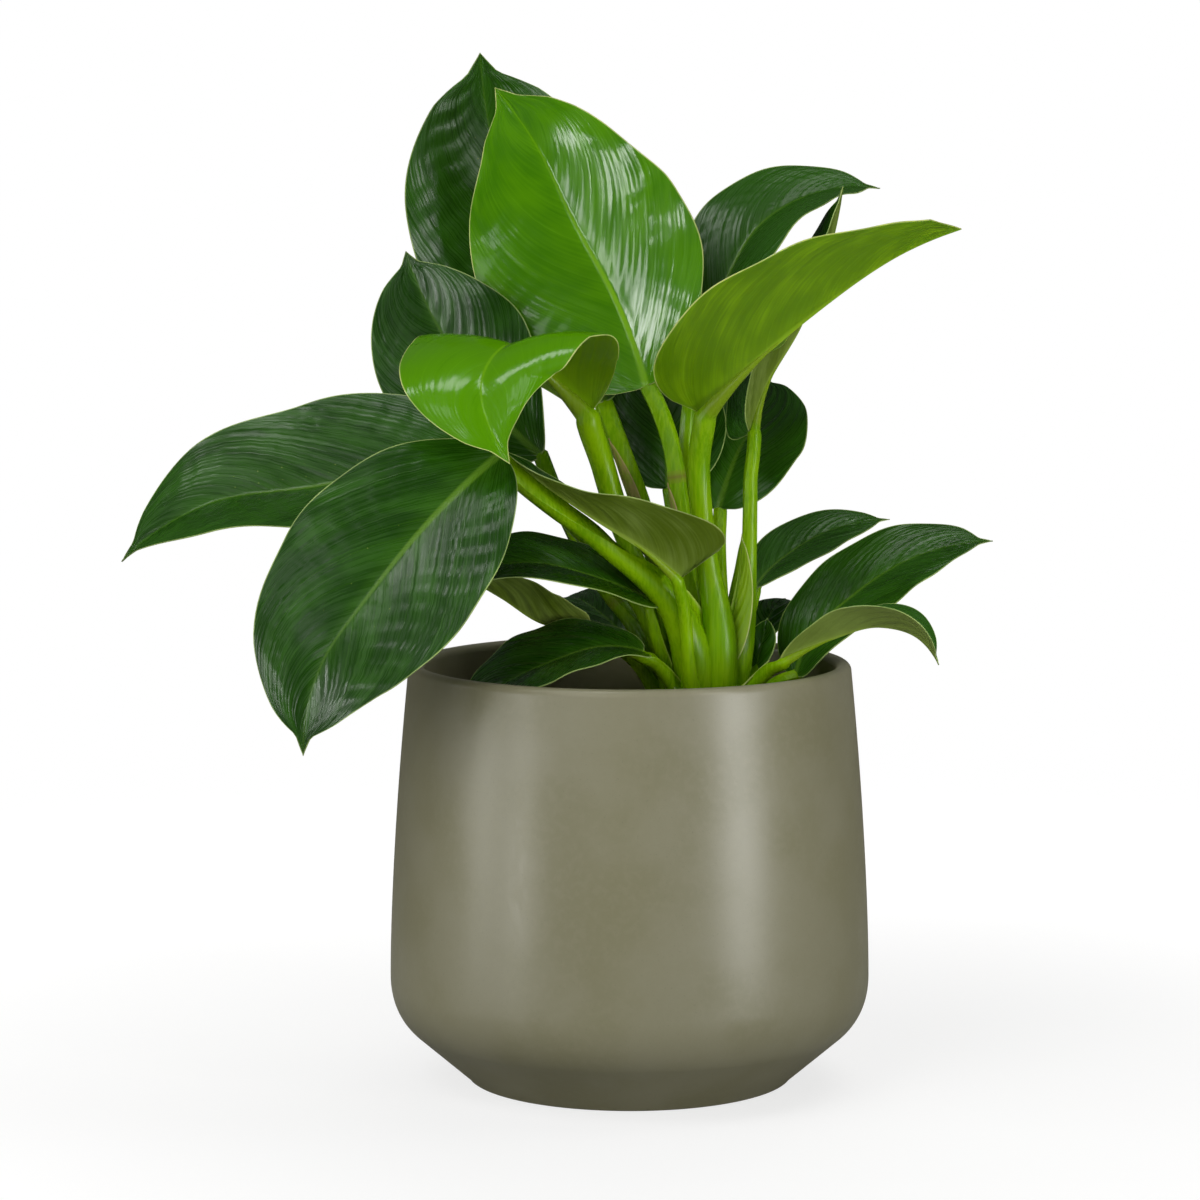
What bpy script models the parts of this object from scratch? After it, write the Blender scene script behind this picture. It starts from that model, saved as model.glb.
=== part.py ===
"""Potted philodendron: a bushy self-heading plant in a matte ceramic pot.

Metres, +Z up, +X right, -Y to the front. The origin is the centre of the pot's foot.
Sizes below are in millimetres and are turned to metres as each mesh is made.
"""
import math
from typing import NamedTuple

import bmesh
import bpy
import numpy as np

MM = 0.001
GAP = 0.3  # clearance between pieces that touch

# Pot
POT_HEIGHT = 148.5
FOOT_RADIUS = 58.0
FOOT_EDGE = 1.5
CONE_RADIUS = 77.3
CONE_HEIGHT = 17.7
BELLY_RADIUS = 85.0
BELLY_HEIGHT = 37.0
RIM_RADIUS = 78.2
WALL = 5.5
FLOOR = 6.5
WALL_CURVE = 1.6  # how late the wall leans in towards the rim
POT_SIDES = 48
SIDE_STEPS = 5  # faces up the shoulder, and again up the wall
FOOT_ARC = (-90, -20, 3)  # degrees from and to, and how many points
RIM_ARC = (30, 150, 5)
SHARP_ANGLE = 50  # degrees between faces that meet in a crisp edge
WELD = 0.01  # points nearer than this are one

# Soil and the crown that the stalks grow from
SOIL_TOP = 121.0
CROWN_CENTRE = (25.0, 3.0)
CROWN_PROFILE = ((9.0, 98.0), (12.0, 104.0), (12.0, 121.0), (10.0, 127.0), (7.4, 136.0), (5.0, 142.0))
CROWN_SIDES = 20
POCKET_RISE = 5.0  # how far the pocket's cutter stands out of the soil

# Leaves
BLADE_THICKNESS = 0.8
BLADE_STEPS = 10
BLADE_SHARES = (-1.0, -0.55, 0.0, 0.55, 1.0)  # across the blade, from margin to margin
LOBE_SHARE = 0.05  # share of the length where the base reaches back furthest
LOBE_FADE = 0.5  # how slowly the base's reach comes and goes along the blade
LOBE_SWEEP = 1.5  # how much of the base's reach is kept for the margins
DRIP_TIP = 0.05  # share of the length past the rounded end of the blade
TAPER = 0.11  # share of the length that the drawn-out tip takes
TAPER_BLEND = 2.6  # how sharply the tip leaves the blade's curve
TIP_RUN = (0.7, 0.9)  # shares of the length over which the tip's shape comes in
RIB_PROBE = 0.01  # share of the length either side of a point that gives the midrib's direction
STALK_STEPS = 9
STALK_NECK = 0.55  # how far a stalk narrows where it meets the blade
STALK_ROUNDNESS = 2  # rounds of sides that each quarter of a stalk gets


class Leaf(NamedTuple):
    """One leaf: a blade on the stalk that carries it."""
    rib: list  # points along the midrib, from the stalk to the tip
    face: list  # directions the upper side faces, from the stalk to the tip
    width: float
    root: tuple = ()  # where the stalk leaves the crown: direction in degrees, height
    stalk: tuple = ()  # points between the root and the blade
    thick: tuple = ()  # stalk radius at the root and below the blade
    fold: tuple = (15, 15)  # degrees each half is raised, left and right
    curl: tuple = (-12, -12)  # degrees each half bends between midrib and margin
    belly: float = 0.42  # share of the length where the blade is widest
    point: float = 0.75  # how the width falls towards the tip
    lobe: float = 2.5  # how far the rounded base reaches back past the stalk
    tip: float = 0.17  # width where the drawn-out tip begins, as a share of the widest
    seat: float = 0.8  # clear length between the stalk's end and the blade's first point


LEAVES = {
    "top_front": Leaf(
        rib=[(6, 14, 245), (-4, 28, 273), (-19, 36, 301), (-36, 38, 334), (-48, 34, 350)],
        face=[(-0.3, -1, 0.2), (-0.3, -0.9, 0.4)],
        width=86, fold=(16, 27), tip=0.24,
        root=(0, 142), stalk=[(25, 2.8, 150), (21, 2, 165), (18, 5, 202), (13, 9, 230)], thick=(3.0, 2.8)),
    "top_back": Leaf(
        rib=[(-9, 21, 239), (-25, 48, 269), (-42, 63, 304), (-52, 67, 342), (-54, 63, 363)],
        face=[(0.15, -1, 0.2), (0.2, -1, 0.3)],
        width=86, fold=(20, 10), belly=0.56, point=0.65, tip=0.3,
        root=(112, 136), stalk=[(14, 15, 162), (4, 18, 203), (-3, 19, 222)], thick=(3.0, 3.2)),
    "left_back": Leaf(
        rib=[(-32, 22, 220), (-45, 27, 232), (-59, 31, 250), (-72, 33, 272), (-80, 34, 292)],
        face=[(-0.25, -0.9, 0.3), (-0.25, -0.9, 0.3)],
        width=59, fold=(10, 22), belly=0.55, tip=0.24, seat=1.0,
        root=(180, 126), stalk=[(3, 9, 158), (-11, 15, 176), (-23, 18, 199)], thick=(2.4, 2.6)),
    "left_arching": Leaf(
        rib=[(-14, 2, 236), (-26, -3, 248), (-41, -19, 261), (-51, -40, 248), (-41, -49, 222)],
        face=[(0.55, 0.8, 0.2), (-0.2, -0.1, 0.95), (-0.25, -0.95, 0.25)],
        width=77, fold=(14, 21), curl=(-25, -25), belly=0.42, point=0.9, lobe=0,
        root=(150, 136), stalk=[(10, 9, 162), (-6, 8, 205)], thick=(3.2, 3.9)),
    "far_left": Leaf(
        rib=[(-49, 0, 219), (-74, 2, 217), (-111, 2, 210), (-148, 2, 204), (-180, 8, 183)],
        face=[(0.1, -0.55, 0.8), (-0.1, -0.5, 0.8)],
        width=68, fold=(21, 30),
        root=(200, 136), stalk=[(8, 2, 162), (-12, 4, 188), (-28, 3, 204)], thick=(2.8, 2.6)),
    "left_front": Leaf(
        rib=[(-45, -34, 224), (-61, -44, 210), (-88, -58, 179), (-105, -64, 154), (-111, -62, 124)],
        face=[(-0.25, -0.9, 0.35), (-0.33, -0.9, 0.2)],
        width=73, belly=0.48, tip=0.17, seat=2.2,
        root=(258, 136), stalk=[(17, -14, 166), (-10, -22, 193), (-36, -31, 214)], thick=(3.8, 3.1)),
    "left_middle": Leaf(
        rib=[(8, -12, 171), (-14, -20, 181), (-34, -26, 186), (-55, -28, 183), (-70, -28, 175)],
        face=[(0, -0.35, 0.93), (0, -0.35, 0.93)],
        width=40,
        root=(224, 126), stalk=[(12, -9, 147), (9, -11, 160)], thick=(2.3, 2.0)),
    "left_small": Leaf(
        rib=[(-16, 0, 160), (-31, -4, 163), (-45, -7, 172), (-61, -8, 181)],
        face=[(0.3, 0.3, 0.9), (0.3, 0.3, 0.9)],
        width=30, fold=(40, 40),
        root=(203, 126), stalk=[(0, -1, 150)], thick=(2.1, 1.8)),
    "rim_left": Leaf(
        rib=[(4, -24, 155), (-9, -28, 157), (-28, -32, 152), (-45, -35, 144), (-61, -36, 131)],
        face=[(-0.1, -0.31, 0.95), (-0.3, -0.35, 0.9)],
        width=48, fold=(18, 12), belly=0.46, lobe=4,
        seat=1.3, root=(244, 126), stalk=[(14, -15, 143)], thick=(2.2, 2.2)),
    "centre_folded": Leaf(
        rib=[(17, -26, 181), (7, -30, 190), (-13, -34, 203), (-32, -34, 216), (-43, -30, 225)],
        face=[(0.45, 0.5, 0.75), (0.4, 0.2, 0.85), (0.2, -0.4, 0.85)],
        width=50, fold=(38, 25), belly=0.1, point=1.1, lobe=0,
        root=(274, 126), stalk=[(21, -18, 145), (19, -22, 166)], thick=(2.2, 2.0)),
    "right_front": Leaf(
        rib=[(25, -15, 238), (38, -27, 252), (60, -32, 271), (95, -26, 294), (114, -18, 301)],
        face=[(-0.45, 0.5, 0.7), (-0.45, 0.4, 0.8)],
        width=72, fold=(30, 30), belly=0.32, point=1.1, tip=0.24,
        root=(300, 136), stalk=[(31, -9, 160), (27, -10, 186), (24, -12, 222)], thick=(3.3, 3.5)),
    "right_back": Leaf(
        rib=[(26, 22, 259), (33, 28, 278), (46, 40, 300), (67, 56, 312), (92, 70, 314)],
        face=[(-0.45, -0.6, 0.6), (-0.3, -0.6, 0.7)],
        width=44, fold=(25, 25), belly=0.47, tip=0.15,
        root=(75, 136), stalk=[(22, 16, 170), (20, 17, 204), (21, 18, 233)], thick=(2.8, 2.4)),
    "right_narrow": Leaf(
        rib=[(42, 6, 229), (48, 20, 245), (61, 31, 266), (71, 34, 291), (76, 32, 315)],
        face=[(-0.95, -0.1, 0.3), (-0.95, -0.15, 0.3)],
        width=46, fold=(30, 32),
        root=(335, 136), stalk=[(40, -2, 164), (42, 0, 203)], thick=(3.0, 2.4)),
    "right_round": Leaf(
        rib=[(32, 22, 201), (38, 34, 217), (47, 50, 233), (51, 64, 245)],
        face=[(-0.3, -0.75, 0.6), (-0.3, -0.65, 0.7)],
        width=52,
        root=(38, 136), stalk=[(33, 15, 160), (32, 18, 183)], thick=(2.6, 2.2)),
    "centre_back": Leaf(
        rib=[(14, 24, 208), (13, 36, 224), (9, 52, 244), (8, 66, 260)],
        face=[(0, -0.8, 0.6), (0, -0.7, 0.7)],
        width=46,
        root=(118, 126), stalk=[(18, 21, 150), (17, 22, 183)], thick=(2.2, 2.0)),
    "right_low_back": Leaf(
        rib=[(45, 17, 173), (57, 40, 182), (75, 56, 190), (96, 63, 193)],
        face=[(-0.2, -0.6, 0.8), (-0.1, -0.6, 0.8)],
        width=25, belly=0.5,
        root=(25, 126), stalk=[(40, 11, 148)], thick=(2.0, 1.7)),
    "right_low": Leaf(
        rib=[(59, 6, 143), (65, 8, 157), (79, 12, 170), (102, 15, 184), (129, 12, 190)],
        face=[(-0.4, -0.5, 0.78), (-0.2, -0.55, 0.8)],
        width=41, belly=0.47,
        seat=1.1, root=(340, 124), stalk=[(46, 2, 136)], thick=(2.2, 2.0)),
    "rim_right": Leaf(
        rib=[(53, -22, 152), (69, -28, 160), (86, -34, 165), (98, -38, 162), (106, -38, 152)],
        face=[(-0.4, 0.45, 0.8), (0, 0.1, 1), (0.7, -0.2, 0.5)],
        width=31, fold=(35, 35), belly=0.6,
        seat=1.5, root=(310, 126), stalk=[(44, -13, 142)], thick=(2.2, 2.0)),
    "rim_front": Leaf(
        rib=[(27, -24, 133), (25, -34, 140), (22, -44, 143), (18, -53, 141)],
        face=[(0, -0.4, 0.9), (0, 0.1, 1)],
        width=20,
        root=(285, 123), stalk=[(27, -18, 127)], thick=(1.6, 1.3)),
    "back_low": Leaf(
        rib=[(0, 24, 152), (-10, 36, 161), (-20, 50, 165), (-28, 62, 161)],
        face=[(0, -0.4, 0.9), (0, -0.2, 0.95)],
        width=32,
        root=(150, 126), stalk=[(9, 16, 142)], thick=(1.9, 1.6)),
    "right_small": Leaf(
        rib=[(47, 22, 154), (52, 33, 163), (57, 43, 166)],
        face=[(-0.4, -0.6, 0.7), (-0.2, -0.6, 0.8)],
        width=18,
        seat=1.2, root=(62, 126), stalk=[(39, 17, 141)], thick=(1.8, 1.5)),
    "right_tiny": Leaf(
        rib=[(45, 3, 147), (47, 5, 155), (49, 8, 163)],
        face=[(-0.5, -0.7, 0.3), (-0.3, -0.8, 0.4)],
        width=12,
        seat=1.2, root=(5, 126), stalk=[(42, 3, 139)], thick=(1.5, 1.3)),
}


class Sheath(NamedTuple):
    """A papery scale that wrapped a leaf before it opened and still hugs its stalk."""
    stalk: str  # the leaf whose stalk it hugs
    side: tuple  # which side of the stalk it lies on
    span: tuple  # where it starts and ends along the stalk
    width: float


SHEATHS = {
    "top_front": Sheath("top_front", (-0.9, -0.4, 0), (0.32, 0.66), 6),
    "top_back": Sheath("top_back", (-0.7, -0.7, 0), (0.55, 0.88), 5),
    "right_narrow": Sheath("right_narrow", (-0.9, -0.4, 0), (0.12, 0.68), 6),
    "rim_right": Sheath("rim_right", (-0.4, 0.3, 0.9), (0.25, 0.85), 4),
}
SHEATH_STEPS = 5
SHEATH_CURL = -35
SHEATH_BELLY = 0.35


def clear_scene():
    """Remove whatever the open file holds."""
    for thing in list(bpy.context.scene.objects):
        bpy.data.objects.remove(thing, do_unlink=True)


def material(name, colour, roughness):
    """A plain Principled material in linear colour."""
    made = bpy.data.materials.new(name)
    made.use_nodes = True
    shader = made.node_tree.nodes["Principled BSDF"]
    shader.inputs["Base Color"].default_value = (*colour, 1.0)
    shader.inputs["Roughness"].default_value = roughness
    shader.inputs["Metallic"].default_value = 0.0
    return made


def add_object(name, data, finish):
    """Link a mesh or curve into the scene as a named piece."""
    piece = bpy.data.objects.new(name, data)
    bpy.context.scene.collection.objects.link(piece)
    data.materials.append(finish)
    return piece


def unit(vectors):
    """Vectors scaled to length one, along the last axis."""
    return vectors / np.linalg.norm(vectors, axis=-1, keepdims=True)


def smooth_path(points, shares):
    """Places at the given shares (0 to 1) of a smooth curve through the points."""
    points = np.array(points, dtype=float)
    steps = np.linalg.norm(np.diff(points, axis=0), axis=1)
    knots = np.concatenate([[0.0], np.cumsum(steps)]) / steps.sum()
    slopes = np.gradient(points, knots, axis=0, edge_order=min(2, len(points) - 1))
    spans = np.clip(np.searchsorted(knots, shares, side="right") - 1, 0, len(points) - 2)
    length = (knots[spans + 1] - knots[spans])[:, None]
    s = (shares - knots[spans])[:, None] / length
    start = points[spans] * (1 + 2 * s) * (1 - s) ** 2 + slopes[spans] * length * s * (1 - s) ** 2
    end = points[spans + 1] * s * s * (3 - 2 * s) + slopes[spans + 1] * length * s * s * (s - 1)
    return start + end


def turning(directions, shares):
    """Directions spaced evenly along a blade, read at the given shares."""
    stops = np.linspace(0.0, 1.0, len(directions))
    return np.stack([np.interp(shares, stops, part) for part in zip(*directions)], axis=1)


def easing(value, start, end):
    """0 before start, 1 after end, and smooth between them."""
    share = np.clip((value - start) / (end - start), 0.0, 1.0)
    return share * share * (3 - 2 * share)


def blade_width(shares, belly, point, tip):
    """Half width along a blade, as a share of its widest half."""
    body = np.clip(shares / (1.0 - DRIP_TIP), 0.0, 1.0)
    rise = point * belly / (1.0 - belly)
    ovate = (body / belly) ** rise * ((1.0 - body) / (1.0 - belly)) ** point
    drawn = tip * np.clip((1.0 - shares) / TAPER, 0.0, 1.0)
    tipped = (ovate ** TAPER_BLEND + drawn ** TAPER_BLEND) ** (1 / TAPER_BLEND)
    return ovate + (tipped - ovate) * easing(shares, *TIP_RUN)


def blade_rows(leaf, shares):
    """Points across the blade at each share of its length, from margin to margin."""
    rib = smooth_path(leaf.rib, shares)
    ahead = smooth_path(leaf.rib, np.minimum(shares + RIB_PROBE, 1.0))
    behind = smooth_path(leaf.rib, np.maximum(shares - RIB_PROBE, 0.0))
    along = unit(ahead - behind)
    face = turning(leaf.face, shares)
    up = unit(face - along * (face * along).sum(axis=1, keepdims=True))
    side = np.cross(along, up)
    half = leaf.width / 2 * blade_width(shares, leaf.belly, leaf.point, leaf.tip)
    place = shares / LOBE_SHARE
    back = leaf.lobe * (place * np.exp(1 - place)) ** LOBE_FADE
    rows = []
    for share in BLADE_SHARES:
        right = share > 0
        fold = math.radians(leaf.fold[right])
        curl = math.radians(leaf.curl[right])
        bend = abs(share) * curl
        reach = half * (math.sin(fold + bend) - math.sin(fold)) / curl
        rise = half * (math.cos(fold) - math.cos(fold + bend)) / curl
        across = side * (math.copysign(1, share) * reach)[:, None] + up * rise[:, None]
        rows.append(rib + across - along * (back * abs(share) ** LOBE_SWEEP)[:, None])
    return np.stack(rows, axis=1)


def make_blade(name, leaf, finish):
    """A thin closed blade: one row of faces per step, a point at each end."""
    shares = (1 - np.cos(np.linspace(0, math.pi, BLADE_STEPS + 1))) / 2
    rows = blade_rows(leaf, shares)
    mesh = bmesh.new()
    base = mesh.verts.new(rows[0, 2] * MM)
    tip = mesh.verts.new(rows[-1, 2] * MM)
    grid = [[mesh.verts.new(point * MM) for point in row] for row in rows[1:-1]]
    for right in range(len(BLADE_SHARES) - 1):
        mesh.faces.new((base, grid[0][right], grid[0][right + 1]))
        mesh.faces.new((grid[-1][right], tip, grid[-1][right + 1]))
        for lower, upper in zip(grid, grid[1:]):
            mesh.faces.new((lower[right], upper[right], upper[right + 1], lower[right + 1]))
    data = bpy.data.meshes.new(name)
    mesh.to_mesh(data)
    mesh.free()
    data.shade_smooth()
    piece = add_object(name, data, finish)
    solid = piece.modifiers.new("thickness", "SOLIDIFY")
    solid.thickness = BLADE_THICKNESS * MM
    solid.offset = 0.0
    return piece


def crown_radius(height):
    """Radius of the crown at a height."""
    radii, heights = zip(*CROWN_PROFILE)
    return float(np.interp(height, heights, radii))


def stalk_root(leaf):
    """Centre of the stalk's lower end, just clear of the crown."""
    direction, height = leaf.root
    if height >= CROWN_PROFILE[-1][1]:
        return (*CROWN_CENTRE, CROWN_PROFILE[-1][1] + GAP)
    reach = crown_radius(height) + GAP + leaf.thick[0]
    angle = math.radians(direction)
    return (CROWN_CENTRE[0] + reach * math.cos(angle), CROWN_CENTRE[1] + reach * math.sin(angle), height)


def stalk_path(leaf, shares):
    """Centres along a stalk, from the crown to just short of its blade."""
    base = np.array(leaf.rib[0], dtype=float)
    last = np.array(leaf.stalk[-1], dtype=float)
    ahead = unit(base - last)
    end = base - ahead * leaf.seat
    return smooth_path([stalk_root(leaf), *leaf.stalk, tuple(end)], shares)


def sheath_shape(sheath):
    """A slim blade laid along one side of a stalk."""
    leaf = LEAVES[sheath.stalk]
    shares = np.linspace(*sheath.span, SHEATH_STEPS)
    path = stalk_path(leaf, shares)
    along = unit(np.gradient(path, axis=0))
    side = np.array(sheath.side) - along * (along @ np.array(sheath.side))[:, None]
    reach = np.interp(shares, (0, 1), leaf.thick) + BLADE_THICKNESS / 2 + 2 * GAP
    rib = path + unit(side) * reach[:, None]
    return Leaf(rib=list(rib), face=[sheath.side, sheath.side], width=sheath.width,
                fold=(0, 0), curl=(SHEATH_CURL, SHEATH_CURL), belly=SHEATH_BELLY, lobe=0.0)


def make_stalk(name, leaf, finish):
    """A round stalk from the crown to its blade, slimmer at the top."""
    shares = np.linspace(0.0, 1.0, STALK_STEPS)
    path = stalk_path(leaf, shares)
    curve = bpy.data.curves.new(name, "CURVE")
    curve.dimensions = "3D"
    curve.bevel_depth = MM
    curve.bevel_resolution = STALK_ROUNDNESS
    curve.use_fill_caps = True
    spline = curve.splines.new("POLY")
    spline.points.add(len(path) - 1)
    for point, place, share in zip(spline.points, path, shares):
        point.co = (*(place * MM), 1.0)
        point.radius = leaf.thick[0] + (leaf.thick[1] - leaf.thick[0]) * share
    spline.points[-1].radius = leaf.thick[1] * STALK_NECK
    return add_object(name, curve, finish)


def turned(name, profile, centre, sides, finish):
    """A closed solid of revolution from (radius, height) points, bottom to top."""
    mesh = bmesh.new()
    verts = [mesh.verts.new((radius * MM, 0.0, height * MM)) for radius, height in profile]
    edges = [mesh.edges.new(pair) for pair in zip(verts, verts[1:])]
    bmesh.ops.spin(mesh, geom=verts + edges, axis=(0, 0, 1), cent=(0, 0, 0),
                   angle=math.tau, steps=sides, use_merge=True)
    bmesh.ops.remove_doubles(mesh, verts=mesh.verts, dist=WELD * MM)
    bmesh.ops.recalc_face_normals(mesh, faces=mesh.faces)
    data = bpy.data.meshes.new(name)
    mesh.to_mesh(data)
    mesh.free()
    data.shade_smooth()
    data.set_sharp_from_angle(angle=math.radians(SHARP_ANGLE))
    piece = add_object(name, data, finish)
    piece.location = (centre[0] * MM, centre[1] * MM, 0.0)
    return piece


def arc(centre, radius, start, stop, steps):
    """Points on an arc in the (radius, height) plane, angles in degrees."""
    return [(centre[0] + radius * math.cos(math.radians(angle)),
             centre[1] + radius * math.sin(math.radians(angle)))
            for angle in np.linspace(start, stop, steps)]


def shoulder(low, corner, high):
    """A rounded corner between two straight runs."""
    points = []
    for t in np.linspace(0.0, 1.0, SIDE_STEPS + 1):
        points.append(tuple((1 - t) ** 2 * np.array(low) + 2 * t * (1 - t) * np.array(corner)
                            + t * t * np.array(high)))
    return points


def wall_side(inset, top):
    """Pot side from the cone to the rim, moved in by the inset."""
    slope = CONE_HEIGHT / (CONE_RADIUS - FOOT_RADIUS)
    corner = CONE_HEIGHT + (BELLY_RADIUS - CONE_RADIUS) * slope
    turn = shoulder((CONE_RADIUS, CONE_HEIGHT), (BELLY_RADIUS, corner), (BELLY_RADIUS, BELLY_HEIGHT))
    side = [(radius - inset, height) for radius, height in turn]
    for t in np.linspace(0.0, 1.0, SIDE_STEPS + 1)[1:]:
        radius = BELLY_RADIUS + (RIM_RADIUS - BELLY_RADIUS) * t ** WALL_CURVE
        side.append((radius - inset, BELLY_HEIGHT + (top - BELLY_HEIGHT) * t))
    return side


def make_pot(finish):
    """The pot: a narrow foot, a flared shoulder, a wall that leans in and a round rim."""
    lip = WALL / 2
    top = POT_HEIGHT - lip
    outer = [(0.0, 0.0), *arc((FOOT_RADIUS - FOOT_EDGE, FOOT_EDGE), FOOT_EDGE, *FOOT_ARC)]
    outer += wall_side(0.0, top)
    rim = arc((RIM_RADIUS - lip, top), lip, *RIM_ARC)
    inner = list(reversed(wall_side(WALL, top)))
    floor = [(FOOT_RADIUS - WALL, FLOOR), (0.0, FLOOR)]
    return turned("pot", outer + rim + inner + floor, (0, 0), POT_SIDES, finish)


def make_soil(finish):
    """Potting soil that fills the pot, with a pocket where the crown stands."""
    side = wall_side(WALL + GAP, POT_HEIGHT - WALL / 2)
    radii, heights = zip(*side)
    edge = float(np.interp(SOIL_TOP, heights, radii))
    below = [point for point in side if point[1] < SOIL_TOP]
    profile = [(0.0, FLOOR + GAP), (FOOT_RADIUS - WALL - 2 * GAP, FLOOR + GAP), *below,
               (edge, SOIL_TOP), (0.0, SOIL_TOP)]
    soil = turned("soil", profile, (0, 0), POT_SIDES, finish)
    lowest = CROWN_PROFILE[0][1] - GAP
    pocket = [(0.0, lowest), (CROWN_PROFILE[0][0], lowest)]
    pocket += [(radius + GAP, height) for radius, height in CROWN_PROFILE[1:3]]
    pocket += [(CROWN_PROFILE[2][0] + GAP, SOIL_TOP + POCKET_RISE), (0.0, SOIL_TOP + POCKET_RISE)]
    cutter = turned("crown_pocket", pocket, CROWN_CENTRE, CROWN_SIDES, finish)
    cutter.hide_render = True
    cutter.display_type = "WIRE"
    cut = soil.modifiers.new("pocket", "BOOLEAN")
    cut.operation = "DIFFERENCE"
    cut.object = cutter
    return soil


def make_crown(finish):
    """The short stem, set in the soil, that every stalk grows from."""
    profile = [(0.0, CROWN_PROFILE[0][1]), *CROWN_PROFILE, (0.0, CROWN_PROFILE[-1][1])]
    return turned("crown_stem", profile, CROWN_CENTRE, CROWN_SIDES, finish)


def build():
    """Make every piece."""
    clear_scene()
    ceramic = material("matte_ceramic", (0.15, 0.14, 0.09), 0.6)
    peat = material("potting_soil", (0.03, 0.02, 0.012), 0.95)
    bark = material("crown_skin", (0.10, 0.14, 0.03), 0.6)
    blade = material("leaf_blade", (0.03, 0.13, 0.02), 0.35)
    stalk = material("leaf_stalk", (0.18, 0.32, 0.02), 0.4)
    papery = material("papery_sheath", (0.30, 0.28, 0.08), 0.7)
    make_pot(ceramic)
    make_soil(peat)
    make_crown(bark)
    for name, leaf in LEAVES.items():
        make_blade("leaf_" + name, leaf, blade)
        make_stalk("stalk_" + name, leaf, stalk)
    for name, sheath in SHEATHS.items():
        make_blade("sheath_" + name, sheath_shape(sheath), papery)


build()
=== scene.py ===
"""Looks for the potted philodendron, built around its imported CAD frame.

Shapes are worked out in millimetres, in the frame's own axes, and turned to metres as each mesh is made.
"""
import math
from functools import partial
from typing import NamedTuple

import bpy
import numpy as np
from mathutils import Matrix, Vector, noise


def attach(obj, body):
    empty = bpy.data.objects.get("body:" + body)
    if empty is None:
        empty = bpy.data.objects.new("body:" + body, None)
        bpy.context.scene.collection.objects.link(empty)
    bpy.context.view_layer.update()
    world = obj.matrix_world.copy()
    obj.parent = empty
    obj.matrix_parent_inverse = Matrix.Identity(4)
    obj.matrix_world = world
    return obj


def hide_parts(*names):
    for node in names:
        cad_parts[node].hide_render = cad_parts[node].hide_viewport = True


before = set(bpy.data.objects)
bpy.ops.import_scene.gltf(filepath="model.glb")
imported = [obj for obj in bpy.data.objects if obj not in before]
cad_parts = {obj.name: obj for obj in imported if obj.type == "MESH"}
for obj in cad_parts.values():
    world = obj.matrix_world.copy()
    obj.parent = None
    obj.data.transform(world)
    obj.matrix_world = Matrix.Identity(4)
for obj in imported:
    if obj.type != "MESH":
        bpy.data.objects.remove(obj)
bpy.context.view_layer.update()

MM = 0.001

# ---------------------------------------------------------------- leaves, as in the frame

LOBE_SHARE = 0.05  # share of the length where the base reaches back furthest
DRIP_TIP = 0.05  # share of the length past the rounded end of the blade
TAPER = 0.11  # share of the length where the drawn-out tip begins
TAPER_BLEND = 2.6  # how sharply the tip leaves the blade's curve
TAPER_RANGE = (0.7, 0.9)  # shares of the length over which the drawn-out tip takes over
CROWN_CENTRE = (25.0, 3.0)
CROWN_PROFILE = ((9.0, 98.0), (12.0, 104.0), (12.0, 121.0), (10.0, 127.0), (7.4, 136.0), (5.0, 142.0))
ROOT_DEPTH = 0.5  # how deep a stalk's lower end sits in the crown's skin


class Leaf(NamedTuple):
    """One leaf: a blade on the stalk that carries it."""
    rib: list  # points along the midrib, from the stalk to the tip
    face: list  # directions the upper side faces, from the stalk to the tip
    width: float
    root: tuple = ()  # where the stalk leaves the crown: direction in degrees, height
    stalk: tuple = ()  # points between the root and the blade
    thick: tuple = ()  # stalk radius at the root and below the blade
    fold: tuple = (15, 15)  # degrees each half is raised, left and right
    curl: tuple = (-12, -12)  # degrees each half bends between midrib and margin
    belly: float = 0.42  # share of the length where the blade is widest
    point: float = 0.75  # how the width falls towards the tip
    lobe: float = 2.5  # how far the rounded base reaches back past the stalk
    slim: float = 0.0  # how much narrower the right half is near the stalk
    flare: float = 0.65  # how much wider the stalk is where it sheathes the crown
    tone: float = 0.4  # how fresh the green is, from 0 for the deepest to 1: partly the leaf's own green and partly painted light and shade, set leaf by leaf
    tip: float = 0.17  # width where the drawn-out tip begins, as a share of the widest
    wing: float = 0.35  # share of the stalk that carries a sheathing wing
    ring: float = 0.0  # share of the stalk where an old leaf scar rings it, 0 for none
    young: bool = False


# Each leaf's tone is partly its own green and partly painted light and shade: a leaf the lights leave too
# dark or too bright is given a fresher or a deeper green.
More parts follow.
